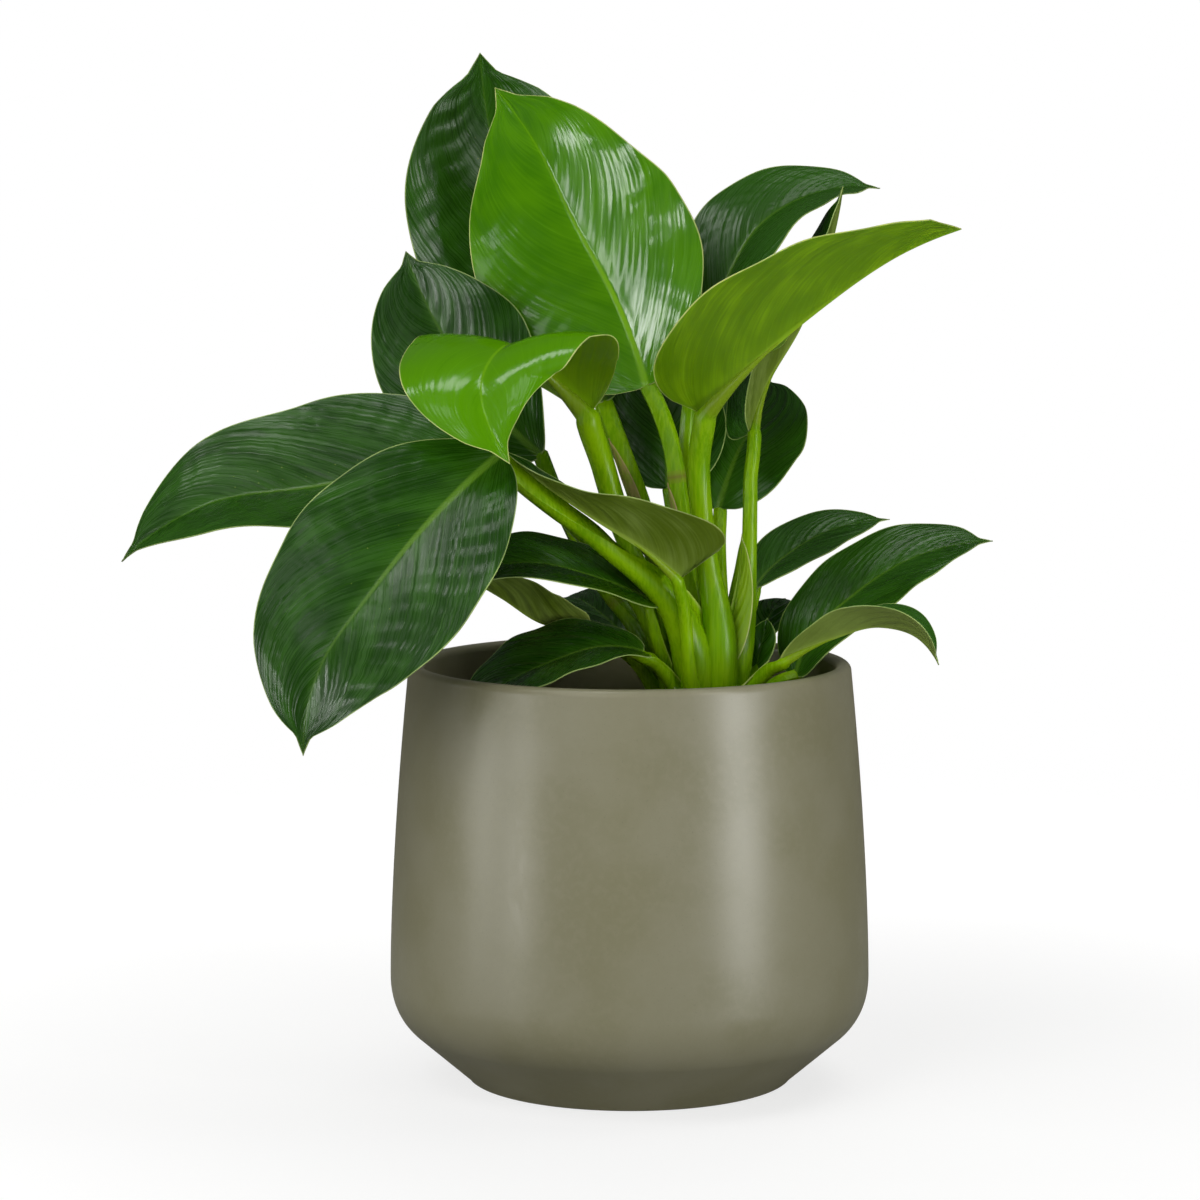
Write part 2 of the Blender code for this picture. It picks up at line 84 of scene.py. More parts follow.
LEAVES = {
    "top_front": Leaf(
        rib=[(6, 14, 245), (-4, 28, 273), (-19, 36, 301), (-36, 38, 334), (-48, 34, 350)],
        face=[(-0.3, -1, 0.2), (-0.3, -0.9, 0.4)],
        width=86, tip=0.24, fold=(16, 27), young=True, ring=0.68,
        root=(0, 142), stalk=[(25, 2.8, 150), (21, 2, 165), (18, 5, 202), (13, 9, 230)], thick=(3.0, 2.8)),
    "top_back": Leaf(
        rib=[(-9, 21, 239), (-25, 48, 269), (-42, 63, 304), (-52, 67, 342), (-54, 63, 363)],
        face=[(0.15, -1, 0.2), (0.2, -1, 0.3)],
        width=86, tone=0.6, fold=(20, 10), tip=0.3, point=0.65, belly=0.56,
        root=(112, 136), stalk=[(14, 15, 162), (4, 18, 203), (-3, 19, 222)], thick=(3.0, 3.2)),
    "left_back": Leaf(
        rib=[(-32, 22, 220), (-45, 27, 232), (-59, 31, 250), (-72, 33, 272), (-80, 34, 292)],
        face=[(-0.25, -0.9, 0.3), (-0.25, -0.9, 0.3)],
        width=59, tone=0.35, fold=(10, 22), tip=0.24, belly=0.55, ring=0.45,
        root=(180, 126), stalk=[(3, 9, 158), (-11, 15, 176), (-23, 18, 199)], thick=(2.4, 2.6)),
    "left_arching": Leaf(
        rib=[(-14, 2, 236), (-26, -3, 248), (-41, -19, 261), (-51, -40, 248), (-41, -49, 222)],
        face=[(0.55, 0.8, 0.2), (-0.2, -0.1, 0.95), (-0.25, -0.95, 0.25)],
        width=77, slim=0.8, tone=1.0, lobe=0, point=0.9, fold=(14, 21), curl=(-25, -25), young=True,
        root=(150, 136), stalk=[(10, 9, 162), (-6, 8, 205)], thick=(3.2, 3.9)),
    "far_left": Leaf(
        rib=[(-49, 0, 219), (-74, 2, 217), (-111, 2, 210), (-148, 2, 204), (-180, 8, 183)],
        face=[(0.1, -0.55, 0.8), (-0.1, -0.5, 0.8)], width=68, tone=0.5, fold=(21, 30),
        root=(200, 136), stalk=[(8, 2, 162), (-12, 4, 188), (-28, 3, 204)], thick=(2.8, 2.6)),
    "left_front": Leaf(
        rib=[(-45, -34, 224), (-61, -44, 210), (-88, -58, 179), (-105, -64, 154), (-111, -62, 124)],
        face=[(-0.25, -0.9, 0.35), (-0.33, -0.9, 0.2)],
        width=73, flare=0.85, tone=0.3, belly=0.48, wing=0.5,
        root=(258, 136), stalk=[(17, -14, 166), (-10, -22, 193), (-36, -31, 214)], thick=(3.8, 3.1)),
    "left_middle": Leaf(
        rib=[(8, -12, 171), (-14, -20, 181), (-34, -26, 186), (-55, -28, 183), (-70, -28, 175)],
        face=[(0, -0.35, 0.93), (0, -0.35, 0.93)], width=40, tone=0.15, wing=0.9,
        root=(224, 126), stalk=[(12, -9, 147), (9, -11, 160)], thick=(2.3, 2.0)),
    "left_small": Leaf(
        rib=[(-16, 0, 160), (-31, -4, 163), (-45, -7, 172), (-61, -8, 181)],
        face=[(0.3, 0.3, 0.9), (0.3, 0.3, 0.9)], width=30, fold=(40, 40),
        root=(203, 126), stalk=[(0, -1, 150)], thick=(2.1, 1.8)),
    "rim_left": Leaf(
        rib=[(4, -24, 155), (-9, -28, 157), (-28, -32, 152), (-45, -35, 144), (-61, -36, 131)],
        face=[(-0.1, -0.31, 0.95), (-0.3, -0.35, 0.9)],
        width=48, tone=0.3, belly=0.46, lobe=4, fold=(18, 12), wing=0.9,
        root=(244, 126), stalk=[(14, -15, 143)], thick=(2.2, 2.2)),
    "centre_folded": Leaf(
        rib=[(17, -26, 181), (7, -30, 190), (-13, -34, 203), (-32, -34, 216), (-43, -30, 225)],
        face=[(0.45, 0.5, 0.75), (0.4, 0.2, 0.85), (0.2, -0.4, 0.85)],
        width=50, tone=0.15, fold=(38, 25), belly=0.1, point=1.1, lobe=0,
        root=(274, 126), stalk=[(21, -18, 145), (19, -22, 166)], thick=(2.2, 2.0)),
    "right_front": Leaf(
        rib=[(25, -15, 238), (38, -27, 252), (60, -32, 271), (95, -26, 294), (114, -18, 301)],
        face=[(-0.45, 0.5, 0.7), (-0.45, 0.4, 0.8)],
        width=72, flare=1.0, tone=0.2, tip=0.24, fold=(30, 30), belly=0.32, point=1.1, young=True,
        root=(300, 136), stalk=[(31, -9, 160), (27, -10, 186), (24, -12, 222)], thick=(3.3, 3.5)),
    "right_back": Leaf(
        rib=[(26, 22, 259), (33, 28, 278), (46, 40, 300), (67, 56, 312), (92, 70, 314)],
        face=[(-0.45, -0.6, 0.6), (-0.3, -0.6, 0.7)],
        width=44, tone=1.0, tip=0.15, belly=0.47, fold=(25, 25),
        root=(75, 136), stalk=[(22, 16, 170), (20, 17, 204), (21, 18, 233)], thick=(2.8, 2.4)),
    "right_narrow": Leaf(
        rib=[(42, 6, 229), (48, 20, 245), (61, 31, 266), (71, 34, 291), (76, 32, 315)],
        face=[(-0.95, -0.1, 0.3), (-0.95, -0.15, 0.3)], width=46, flare=1.0, fold=(30, 32), wing=0.6,
        root=(335, 136), stalk=[(40, -2, 164), (42, 0, 203)], thick=(3.0, 2.4)),
    "right_round": Leaf(
        rib=[(32, 22, 201), (38, 34, 217), (47, 50, 233), (51, 64, 245)],
        face=[(-0.3, -0.75, 0.6), (-0.3, -0.65, 0.7)], width=52, tone=0.8,
        root=(38, 136), stalk=[(33, 15, 160), (32, 18, 183)], thick=(2.6, 2.2)),
    "centre_back": Leaf(
        rib=[(14, 24, 208), (13, 36, 224), (9, 52, 244), (8, 66, 260)],
        face=[(0, -0.8, 0.6), (0, -0.7, 0.7)], width=46, tone=0.1,
        root=(118, 126), stalk=[(18, 21, 150), (17, 22, 183)], thick=(2.2, 2.0)),
    "right_low_back": Leaf(
        rib=[(45, 17, 173), (57, 40, 182), (75, 56, 190), (96, 63, 193)],
        face=[(-0.2, -0.6, 0.8), (-0.1, -0.6, 0.8)], width=25, tone=0.7, belly=0.5,
        root=(25, 126), stalk=[(40, 11, 148)], thick=(2.0, 1.7)),
    "right_low": Leaf(
        rib=[(59, 6, 143), (65, 8, 157), (79, 12, 170), (102, 15, 184), (129, 12, 190)],
        face=[(-0.4, -0.5, 0.78), (-0.2, -0.55, 0.8)], width=41, tone=0.55, belly=0.47,
        root=(340, 124), stalk=[(46, 2, 136)], thick=(2.2, 2.0)),
    "rim_right": Leaf(
        rib=[(53, -22, 152), (69, -28, 160), (86, -34, 165), (98, -38, 162), (106, -38, 152)],
        face=[(-0.4, 0.45, 0.8), (0, 0.1, 1), (0.7, -0.2, 0.5)],
        width=31, tone=1.0, belly=0.6, fold=(35, 35), wing=0.9,
        root=(310, 126), stalk=[(44, -13, 142)], thick=(2.2, 2.0)),
    "rim_front": Leaf(
        rib=[(27, -24, 133), (25, -34, 140), (22, -44, 143), (18, -53, 141)],
        face=[(0, -0.4, 0.9), (0, 0.1, 1)], width=20,
        root=(285, 123), stalk=[(27, -18, 127)], thick=(1.6, 1.3)),
    "back_low": Leaf(
        rib=[(0, 24, 152), (-10, 36, 161), (-20, 50, 165), (-28, 62, 161)],
        face=[(0, -0.4, 0.9), (0, -0.2, 0.95)], width=32,
        root=(150, 126), stalk=[(9, 16, 142)], thick=(1.9, 1.6)),
    "right_small": Leaf(
        rib=[(47, 22, 154), (52, 33, 163), (57, 43, 166)],
        face=[(-0.4, -0.6, 0.7), (-0.2, -0.6, 0.8)], width=18,
        root=(62, 126), stalk=[(39, 17, 141)], thick=(1.8, 1.5)),
    "right_tiny": Leaf(
        rib=[(45, 3, 147), (47, 5, 155), (49, 8, 163)],
        face=[(-0.5, -0.7, 0.3), (-0.3, -0.8, 0.4)], width=12,
        root=(5, 126), stalk=[(42, 3, 139)], thick=(1.5, 1.3)),
}


class Sheath(NamedTuple):
    """A scale that wrapped a leaf before it opened and still hugs its stalk."""
    stalk: str  # the leaf whose stalk it hugs
    side: tuple  # which side of the stalk it lies on
    span: tuple  # where it starts and ends along the stalk
    width: float
    green: bool = False  # still living, where the others have dried to paper


SHEATHS = {
    "top_front": Sheath("top_front", (-0.9, -0.4, 0), (0.32, 0.66), 6),
    "top_back": Sheath("top_back", (-0.7, -0.7, 0), (0.55, 0.88), 5),
    "right_narrow": Sheath("right_narrow", (-0.75, -0.7, 0), (0.10, 0.62), 10, green=True),
    "rim_right": Sheath("rim_right", (-0.4, 0.3, 0.9), (0.25, 0.85), 4, green=True),
}
SHEATH_STEPS = 9
SHEATH_FULLNESS = 1.4  # width of a scale laid flat against its width round the stalk
SHEATH_FOLD = -5  # degrees
SHEATH_CURL = (-60, -25)  # degrees, dried and green
SHEATH_BELLY = 0.35  # share of the length where a scale is widest

# ---------------------------------------------------------------- paths and surfaces

RIB_REACH = 0.01  # share of the blade on each side that gives the midrib's direction
TINY = 1e-12


def unit(vectors):
    """Vectors scaled to length one, along the last axis."""
    return vectors / np.maximum(np.linalg.norm(vectors, axis=-1, keepdims=True), TINY)


def bell(value, width):
    """1 where value is 0, falling away on both sides within the width."""
    return np.exp(-(value / width) ** 2)


def smooth_path(points, shares):
    """Places at the given shares (0 to 1) of a smooth curve through the points."""
    points = np.array(points, dtype=float)
    steps = np.linalg.norm(np.diff(points, axis=0), axis=1)
    knots = np.concatenate([[0.0], np.cumsum(steps)]) / steps.sum()
    slopes = np.gradient(points, knots, axis=0, edge_order=min(2, len(points) - 1))
    spans = np.clip(np.searchsorted(knots, shares, side="right") - 1, 0, len(points) - 2)
    length = (knots[spans + 1] - knots[spans])[:, None]
    s = (shares - knots[spans])[:, None] / length
    start = points[spans] * (1 + 2 * s) * (1 - s) ** 2 + slopes[spans] * length * s * (1 - s) ** 2
    end = points[spans + 1] * s * s * (3 - 2 * s) + slopes[spans + 1] * length * s * s * (s - 1)
    return start + end


def turning(directions, shares):
    """Directions spaced evenly along a blade, read at the given shares."""
    stops = np.linspace(0.0, 1.0, len(directions))
    return np.stack([np.interp(shares, stops, part) for part in zip(*directions)], axis=1)


def easing(value, start, end):
    """0 before start, 1 after end, and smooth between them."""
    share = np.clip((value - start) / (end - start), 0.0, 1.0)
    return share * share * (3 - 2 * share)


def blade_width(shares, belly, point, tip):
    """Half width along a blade, as a share of its widest half."""
    body = np.clip(shares / (1.0 - DRIP_TIP), 0.0, 1.0)
    rise = point * belly / (1.0 - belly)
    ovate = (body / belly) ** rise * ((1.0 - body) / (1.0 - belly)) ** point
    drawn = tip * np.clip((1.0 - shares) / TAPER, 0.0, 1.0)
    tipped = (ovate ** TAPER_BLEND + drawn ** TAPER_BLEND) ** (1 / TAPER_BLEND)
    return np.where(shares > 0.5, ovate + (tipped - ovate) * easing(shares, *TAPER_RANGE), ovate)


def rib_frame(leaf, shares):
    """Midrib points, with the directions along it, across it and up from it."""
    rib = smooth_path(leaf.rib, shares)
    ahead = smooth_path(leaf.rib, np.minimum(shares + RIB_REACH, 1.0))
    behind = smooth_path(leaf.rib, np.maximum(shares - RIB_REACH, 0.0))
    along = unit(ahead - behind)
    face = turning(leaf.face, shares)
    up = unit(face - along * (face * along).sum(axis=1, keepdims=True))
    return rib, along, np.cross(along, up), up


def crown_radius(height):
    """Radius of the crown at a height."""
    radii, heights = zip(*CROWN_PROFILE)
    return float(np.interp(height, heights, radii))


def stalk_root(leaf):
    """Centre of the stalk's lower end, at the crown's skin."""
    direction, height = leaf.root
    if height >= CROWN_PROFILE[-1][1]:
        return (*CROWN_CENTRE, CROWN_PROFILE[-1][1])
    reach = crown_radius(height) + leaf.thick[0] - ROOT_DEPTH
    angle = math.radians(direction)
    return (CROWN_CENTRE[0] + reach * math.cos(angle), CROWN_CENTRE[1] + reach * math.sin(angle), height)


def stalk_path(leaf, shares):
    """Centres along a stalk, from the crown to its blade."""
    return smooth_path([stalk_root(leaf), *leaf.stalk, leaf.rib[0]], shares)


# ---------------------------------------------------------------- meshes


def link_object(name, data):
    """An object in the scene."""
    made = bpy.data.objects.new(name, data)
    bpy.context.scene.collection.objects.link(made)
    return made


def finish_mesh(name, points, faces, uvs, finishes, which=None, sharp=60):
    """A piece from points in millimetres, with UV maps given per face corner."""
    mesh = bpy.data.meshes.new(name)
    mesh.from_pydata((np.asarray(points) * MM).tolist(), [], faces)
    for map_name, corners in uvs.items():
        layer = mesh.uv_layers.new(name=map_name)
        layer.data.foreach_set("uv", np.asarray(corners, dtype=np.float32).ravel())
    for finish in finishes:
        mesh.materials.append(finish)
    if which is not None:
        mesh.polygons.foreach_set("material_index", which)
    mesh.shade_smooth()
    mesh.set_sharp_from_angle(angle=math.radians(sharp))
    mesh.update()
    return link_object(name, mesh)


def place_piece(piece, slot, *nodes):
    """The piece rides on the one body and stands for its CAD nodes, which it hides. The slot is not used."""
    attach(piece, "root")
    if nodes:
        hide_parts(*nodes)
    return piece


def closed_rings(name, rings, finish, values=None, sharp=60):
    """A closed body through rings of points, each end closed to its ring's middle.

    values holds two numbers per ring point, kept as the UV map "place".
    """
    rings = np.asarray(rings, dtype=float)
    count, around = rings.shape[:2]
    points = np.concatenate([rings.reshape(-1, 3), rings[:1].mean(axis=1), rings[-1:].mean(axis=1)])
    first, last = count * around, count * around + 1
    faces = []
    for row in range(count - 1):
        for column in range(around):
            beside = (column + 1) % around
            faces.append((row * around + column, row * around + beside,
                          (row + 1) * around + beside, (row + 1) * around + column))
    for column in range(around):
        beside = (column + 1) % around
        faces.append((first, beside, column))
        faces.append((last, (count - 1) * around + column, (count - 1) * around + beside))
    uvs = {}
    if values is not None:
        ends = [values[0].mean(axis=0), values[-1].mean(axis=0)]
        table = np.concatenate([values.reshape(-1, 2), ends])
        uvs["place"] = table[[corner for face in faces for corner in face]]
    return finish_mesh(name, points, faces, uvs, [finish], sharp=sharp)


def circles(profile, sides, centre=(0.0, 0.0)):
    """Rings of a solid of revolution from (radius, height) points, bottom to top."""
    turn = np.linspace(0.0, math.tau, sides, endpoint=False)
    return np.array([[(centre[0] + radius * math.cos(a), centre[1] + radius * math.sin(a), height)
                      for a in turn] for radius, height in profile])


# ---------------------------------------------------------------- blades

BLADE_THICKNESS = 0.5
MARGIN_THICKNESS = 0.3
THIN_EDGE = 2.5  # how far in from the margin a blade reaches its full thickness
FULL_WIDTH = 60.0  # a blade narrower than this has a finer midrib

BLADE_ROWS = 64
HALF_COLUMNS = 15
ROW_CROWDING = 0.5  # how much the rows crowd towards both ends of a blade
FIRST_ROW = 0.35  # the first row's place against an even one, so the base starts round
COLUMN_CROWDING = (0.55, 0.45)  # even and crowded shares of the columns' places
SLIM_RANGE = (0.05, 0.42)  # shares of the length over which a slim half widens
LOBE_CURVE = 1.5  # how the base's reach grows towards the margin

VEIN_SPACING = 8.5  # between the main side veins, along the midrib
VEIN_SWEEP = (0.30, 0.25)  # how far a side vein runs forward on its way out, linear and squared
VEIN_DRIFT = ((1.3, 15.0), (0.5, 6.0))  # how far veins stray, and over what length: broad and fine
START_RANGE = 6.0  # where the straying starts, so no two blades match
PATTERN_STARTS = 9  # places a blade's pattern can start from
PATTERN_APART = 100  # veins between them
OTHER_HALF = 850.0  # moves the left half's pattern along, so the halves don't mirror

QUILT = 0.36  # how far the blade swells between its side veins
YOUNG_QUILT = 0.4  # a young blade's share of that
QUILT_EDGE = 6.0  # how far in from the margin the swelling is full
QUILT_RIB = (1.0, 4.0)  # and how far out from the midrib, in half midribs
WAVES = 3.0  # along a margin, or one more
WAVE_HEIGHT = 0.011  # share of the blade's width
WAVE_ROOM = 12.0  # half width from which a margin waves in full

RIB_WIDTH = (4.0, 0.5)  # midrib across, at the stalk and at the tip
RIB_TAPER = 1.3  # how its width falls between them
RIB_GROOVE = (0.30, 1.8)  # groove above the midrib: depth, and width in half midribs
RIB_CREST = (0.34, 0.7)  # the crest inside that groove
RIB_BELOW = 0.9  # how far the midrib stands out below, and how wide, in half midribs


def blade_grid():
    """Shares of the length of each row, and places across of each column, from -1 to 1."""
    even = np.linspace(0, 1, BLADE_ROWS + 1)
    crowded = (1 - np.cos(np.linspace(0, math.pi, BLADE_ROWS + 1))) / 2
    shares = ROW_CROWDING * crowded + (1 - ROW_CROWDING) * even
    shares[1] = shares[1] * FIRST_ROW
    step = np.linspace(0.0, 1.0, HALF_COLUMNS)
    outward = COLUMN_CROWDING[0] * step + COLUMN_CROWDING[1] * (1 - np.cos(step * math.pi)) / 2
    return shares, np.concatenate([-outward[:0:-1], outward])


def two_sheets(rows, columns):
    """Faces of an upper and a lower sheet joined round the margin, with each one's half and side.

    Each sheet's points are its base, its tip and then its grid, row by row.
    """
    centre = HALF_COLUMNS - 1
    sheet = 2 + rows * columns

    def corner(layer, row, column):
        """Number of a grid point."""
        return layer * sheet + 2 + row * columns + column

    faces, left, which = [], [], []
    for layer in (0, 1):
        for column in range(columns - 1):
            new = [(layer * sheet, corner(layer, 0, column + 1), corner(layer, 0, column)),
                   (corner(layer, rows - 1, column), corner(layer, rows - 1, column + 1), layer * sheet + 1)]
            new += [(corner(layer, row, column), corner(layer, row, column + 1),
                     corner(layer, row + 1, column + 1), corner(layer, row + 1, column))
                    for row in range(rows - 1)]
            faces += [face[::-1] if layer else face for face in new]
            left += [column < centre] * len(new)
            which += [layer] * len(new)
    loop = [0, *[corner(0, row, columns - 1) for row in range(rows)], 1,
            *[corner(0, row, 0) for row in reversed(range(rows))]]
    for step, (here, there) in enumerate(zip(loop, loop[1:] + loop[:1])):
        faces.append((here, here + sheet, there + sheet, there))
        left.append(step > rows)
        which.append(0)
    return faces, left, which


def sheet_table(values):
    """A grid's values in the order of a sheet's points: base, tip and then the rows between."""
    ends = np.array([values[0, HALF_COLUMNS - 1], values[-1, HALF_COLUMNS - 1]])
    return np.concatenate([ends, values[1:-1].reshape(-1, *values.shape[2:])])


def make_blade(name, leaf, finishes, rng):
    """A living blade: veins pressed in, a midrib that stands out below, a slightly wavy margin."""
    length = np.linalg.norm(np.diff(np.array(leaf.rib, dtype=float), axis=0), axis=1).sum()
    shares, across = blade_grid()
    rib, along, side, up = rib_frame(leaf, shares)
    half = leaf.width / 2 * blade_width(shares, leaf.belly, leaf.point, leaf.tip)
    back = leaf.lobe * np.sqrt(shares / LOBE_SHARE) * np.exp(0.5 * (1 - shares / LOBE_SHARE))
    narrowed = leaf.slim * (1 - easing(shares, *SLIM_RANGE))
    half = half[:, None] * np.where(across > 0, 1 - narrowed[:, None], 1.0)
    size = np.abs(across)
    right = (across > 0).astype(int)
    fold = np.radians(np.array(leaf.fold, dtype=float))[right]
    curl = np.radians(np.array(leaf.curl, dtype=float))[right]
    bend = size * curl
    back = back[:, None] * size ** LOBE_CURVE
    reach = half * ((np.sin(fold + bend) - np.sin(fold)) / curl)
    rise = half * ((np.cos(fold) - np.cos(fold + bend)) / curl)
    middle = (rib[:, None] + side[:, None] * (np.sign(across) * reach)[..., None]
              + up[:, None] * rise[..., None] - along[:, None] * back[..., None])

    # where each point lies: forward along its side vein, out from the midrib, in from the margin
    phase = (shares[:, None] - VEIN_SWEEP[0] * size - VEIN_SWEEP[1] * size ** 2) * length
    start = rng.uniform(0.0, START_RANGE)
    strays = [drift * np.sin(phase / over + order * start)
              for order, (drift, over) in enumerate(VEIN_DRIFT, 1)]
    phase = phase + strays[0] + strays[1]
    forward = np.broadcast_to(shares[:, None] * length, phase.shape)
    margin = half * (1 - size)
    fineness = np.minimum(1.0, leaf.width / FULL_WIDTH)
    rib_across = RIB_WIDTH[1] + (RIB_WIDTH[0] - RIB_WIDTH[1]) * (1 - shares) ** RIB_TAPER
    rib_half = fineness * 0.5 * rib_across[:, None]
    ratio = half * size / rib_half

    normal = unit(np.cross(np.gradient(middle, axis=1), np.gradient(middle, axis=0)))
    normal[0], normal[-1] = normal[1], normal[-2]
    inland = easing(margin, 0.0, QUILT_EDGE) * easing(ratio, *QUILT_RIB)
    swell = -QUILT * (YOUNG_QUILT if leaf.young else 1.0) * np.cos(math.tau * phase / VEIN_SPACING) * inland
    waves = WAVES + rng.integers(0, 2)
    turn = rng.uniform(0.0, math.tau, 2)[right]
    wave = WAVE_HEIGHT * leaf.width * np.sin(math.tau * waves * shares[:, None] + turn) * size ** 3
    room = easing(margin.max(axis=1, keepdims=True), 0, WAVE_ROOM)
    middle = middle + normal * (swell + wave * room)[..., None]

    thick = MARGIN_THICKNESS + (BLADE_THICKNESS - MARGIN_THICKNESS) * easing(margin, 0.0, THIN_EDGE)
    above = thick / 2 - RIB_GROOVE[0] * bell(ratio, RIB_GROOVE[1]) + RIB_CREST[0] * bell(ratio, RIB_CREST[1])
    below = thick / 2 + rib_half * RIB_BELOW * bell(ratio, RIB_BELOW)
    upper = middle + normal * above[..., None]
    lower = middle - normal * below[..., None]

    faces, left, which = two_sheets(phase.shape[0] - 2, phase.shape[1])
    indices = np.array([point for face in faces for point in face])
    halves = np.repeat(left, [len(face) for face in faces])

    def corners(first, second):
        """Two grids of values as a UV map for both sheets."""
        return np.tile(np.stack([sheet_table(first), sheet_table(second)], axis=1), (2, 1))[indices]

    veins = corners(phase, forward)
    veins[:, 0] += OTHER_HALF * halves + VEIN_SPACING * PATTERN_APART * rng.integers(0, PATTERN_STARTS)
    # the map whole carries the share along the blade and the leaf's tone, which is partly painted light and
    # shade
    maps = {"veins": veins, "place": corners(ratio, margin),
            "whole": corners(forward / length, np.full(phase.shape, leaf.tone))}
    points = np.concatenate([sheet_table(upper), sheet_table(lower)])
    return finish_mesh(name, points, faces, maps, finishes, which)


# ---------------------------------------------------------------- stalks

STALK_STEPS = 44
RIB_STEPS = 22
RIB_RUN = 0.45  # share of the blade that the stalk runs on under, as its midrib
FULLNESS = 1.12  # a living stalk against the plain rod it grows round
FLARE_END = 0.55  # share of the stalk where its sheathing base has narrowed
NECK = (0.75, 0.80)  # how far the stalk's top sinks below the blade, in radii, and the share where it starts
RUN_RADIUS = (0.85, 1.8, 0.35)  # under the blade: share of the stalk's at first, how it falls, and the least
RUN_DEPTH = (0.72, 0.1)  # how deep its middle lies there, in radii and in millimetres
INWARD = (0.0, -0.6, 0.5)  # which way the channel of a stalk on top of the crown faces
INWARD_RISE = 0.5  # how far up the channel of any other stalk faces
CHANNEL_TURN = (0.1, 0.9)  # shares over which the channel turns from the crown to the blade's upper side

WING = 0.75  # how far a sheathing wing stands out, as a share of the stalk's radius
WING_ANGLE = 49.0  # degrees from the channel's middle to the wing's edge
WING_SPREAD = 4.0  # degrees
RING_SWELL = (0.08, 0.02)  # a leaf scar's swelling: share of the radius, and width as a share of the stalk
RING_WIDTH = 0.010  # width of its brown line, as a share of the stalk

# What a stalk's colour goes by: above 0 on a wing's pale edge, below 0 on the midrib and, further, on a scar.
RIBBED = 0.3
PALE = (0.25, 1.5)  # the edge of the lowest wing, and how much paler it gets as a wing stands out
SCARRED = 1.4
RIB_EASE = 3  # steps over which the stalk takes on the midrib's colour

# Half of a stalk's section, from the middle of its channel round to its back: degrees and radius share.
SECTION = ((0, 0.80), (18, 0.82), (33, 0.88), (42, 0.95), (47, 1.04), (52, 1.04), (58, 1.0), (68, 1.0),
           (80, 1.0), (95, 1.0), (112, 1.0), (130, 1.0), (150, 1.0), (165, 1.0), (180, 1.0))


def stalk_flare(leaf, shares):
    """How much wider than a plain rod a stalk is, along its length."""
    return 1 + leaf.flare * (1 - easing(shares, 0.0, FLARE_END))


def stalk_frame(leaf):
    """Stalk centres on into the midrib, with radii, channel directions, wing heights and scar."""
    shares = np.linspace(0.0, 1.0, STALK_STEPS)
    path = stalk_path(leaf, shares)
    run = np.linspace(0.0, RIB_RUN, RIB_STEPS + 1)[1:]
    rib, _, _, up = rib_frame(leaf, run)
    under = np.zeros(RIB_STEPS)

    radius = (leaf.thick[0] + (leaf.thick[1] - leaf.thick[0]) * shares) * FULLNESS * stalk_flare(leaf, shares)
    ring = np.zeros(STALK_STEPS)
    if leaf.ring:
        radius = radius * (1 + RING_SWELL[0] * bell(shares - leaf.ring, RING_SWELL[1]))
        ring = bell(shares - leaf.ring, RING_WIDTH)
    first, fall, least = RUN_RADIUS
    fineness = min(1.0, leaf.width / FULL_WIDTH)
    run_radius = leaf.thick[1] * first * (1 - run / RIB_RUN) ** fall + least * fineness
    sink = RUN_DEPTH[0] * run_radius + RUN_DEPTH[1]
    neck = leaf.thick[1] * NECK[0] * easing(shares, NECK[1], 1.0)
    blade_up = rib_frame(leaf, np.zeros(1))[3][0]
    centres = np.concatenate([path - blade_up * neck[:, None], rib - up * sink[:, None]])

    outward = np.array([path[0][0] - CROWN_CENTRE[0], path[0][1] - CROWN_CENTRE[1], 0.0])
    away = outward / max(np.linalg.norm(outward), 1.0)
    on_top = np.linalg.norm(outward) < 1
    inward = np.array(INWARD) if on_top else -away + np.array([0, 0, INWARD_RISE])
    blend = easing(shares, *CHANNEL_TURN)[:, None]
    channel = np.concatenate([inward * (1 - blend) + blade_up * blend, up])
    wing = WING * np.sqrt(np.clip(1 - shares / leaf.wing, 0, 1))
    radii = np.concatenate([radius, run_radius])
    return centres, radii, channel, np.concatenate([wing, under]), np.concatenate([ring, under])


def make_stalk(name, leaf, finish):
    """A stalk with a shallow channel and sheathing wings, running on as the blade's midrib."""
    centres, radii, channel, wing, ring = stalk_frame(leaf)
    along = unit(np.gradient(centres, axis=0))
    toward = unit(channel - along * (channel * along).sum(axis=1, keepdims=True))
    across = np.cross(along, toward)
    section = np.array([*SECTION, *[(-angle, radius) for angle, radius in SECTION[-2:0:-1]]])
    turn = np.radians(section[:, 0])
    on_wing = bell(np.abs(section[:, 0]) - WING_ANGLE, WING_SPREAD)
    shape = section[:, 1] + wing[:, None] * on_wing
    outward = toward[:, None] * np.cos(turn)[:, None] + across[:, None] * np.sin(turn)[:, None]
    rings = centres[:, None] + outward * (radii[:, None] * shape)[..., None]
    run_on = easing(np.arange(1, RIB_STEPS + 1), 0, RIB_EASE)
    ribbed = np.concatenate([np.zeros(STALK_STEPS), run_on])[:, None]
    pale = on_wing * np.minimum(1.0, PALE[0] + PALE[1] * wing[:, None]) - SCARRED * ring[:, None]
    pale = pale * (1 - ribbed) - RIBBED * ribbed
    length = np.concatenate([[0], np.cumsum(np.linalg.norm(np.diff(centres, axis=0), axis=1))])
    values = np.stack([pale, np.broadcast_to(length[:, None], pale.shape)], axis=2)
    return closed_rings(name, rings, finish, values, sharp=75)


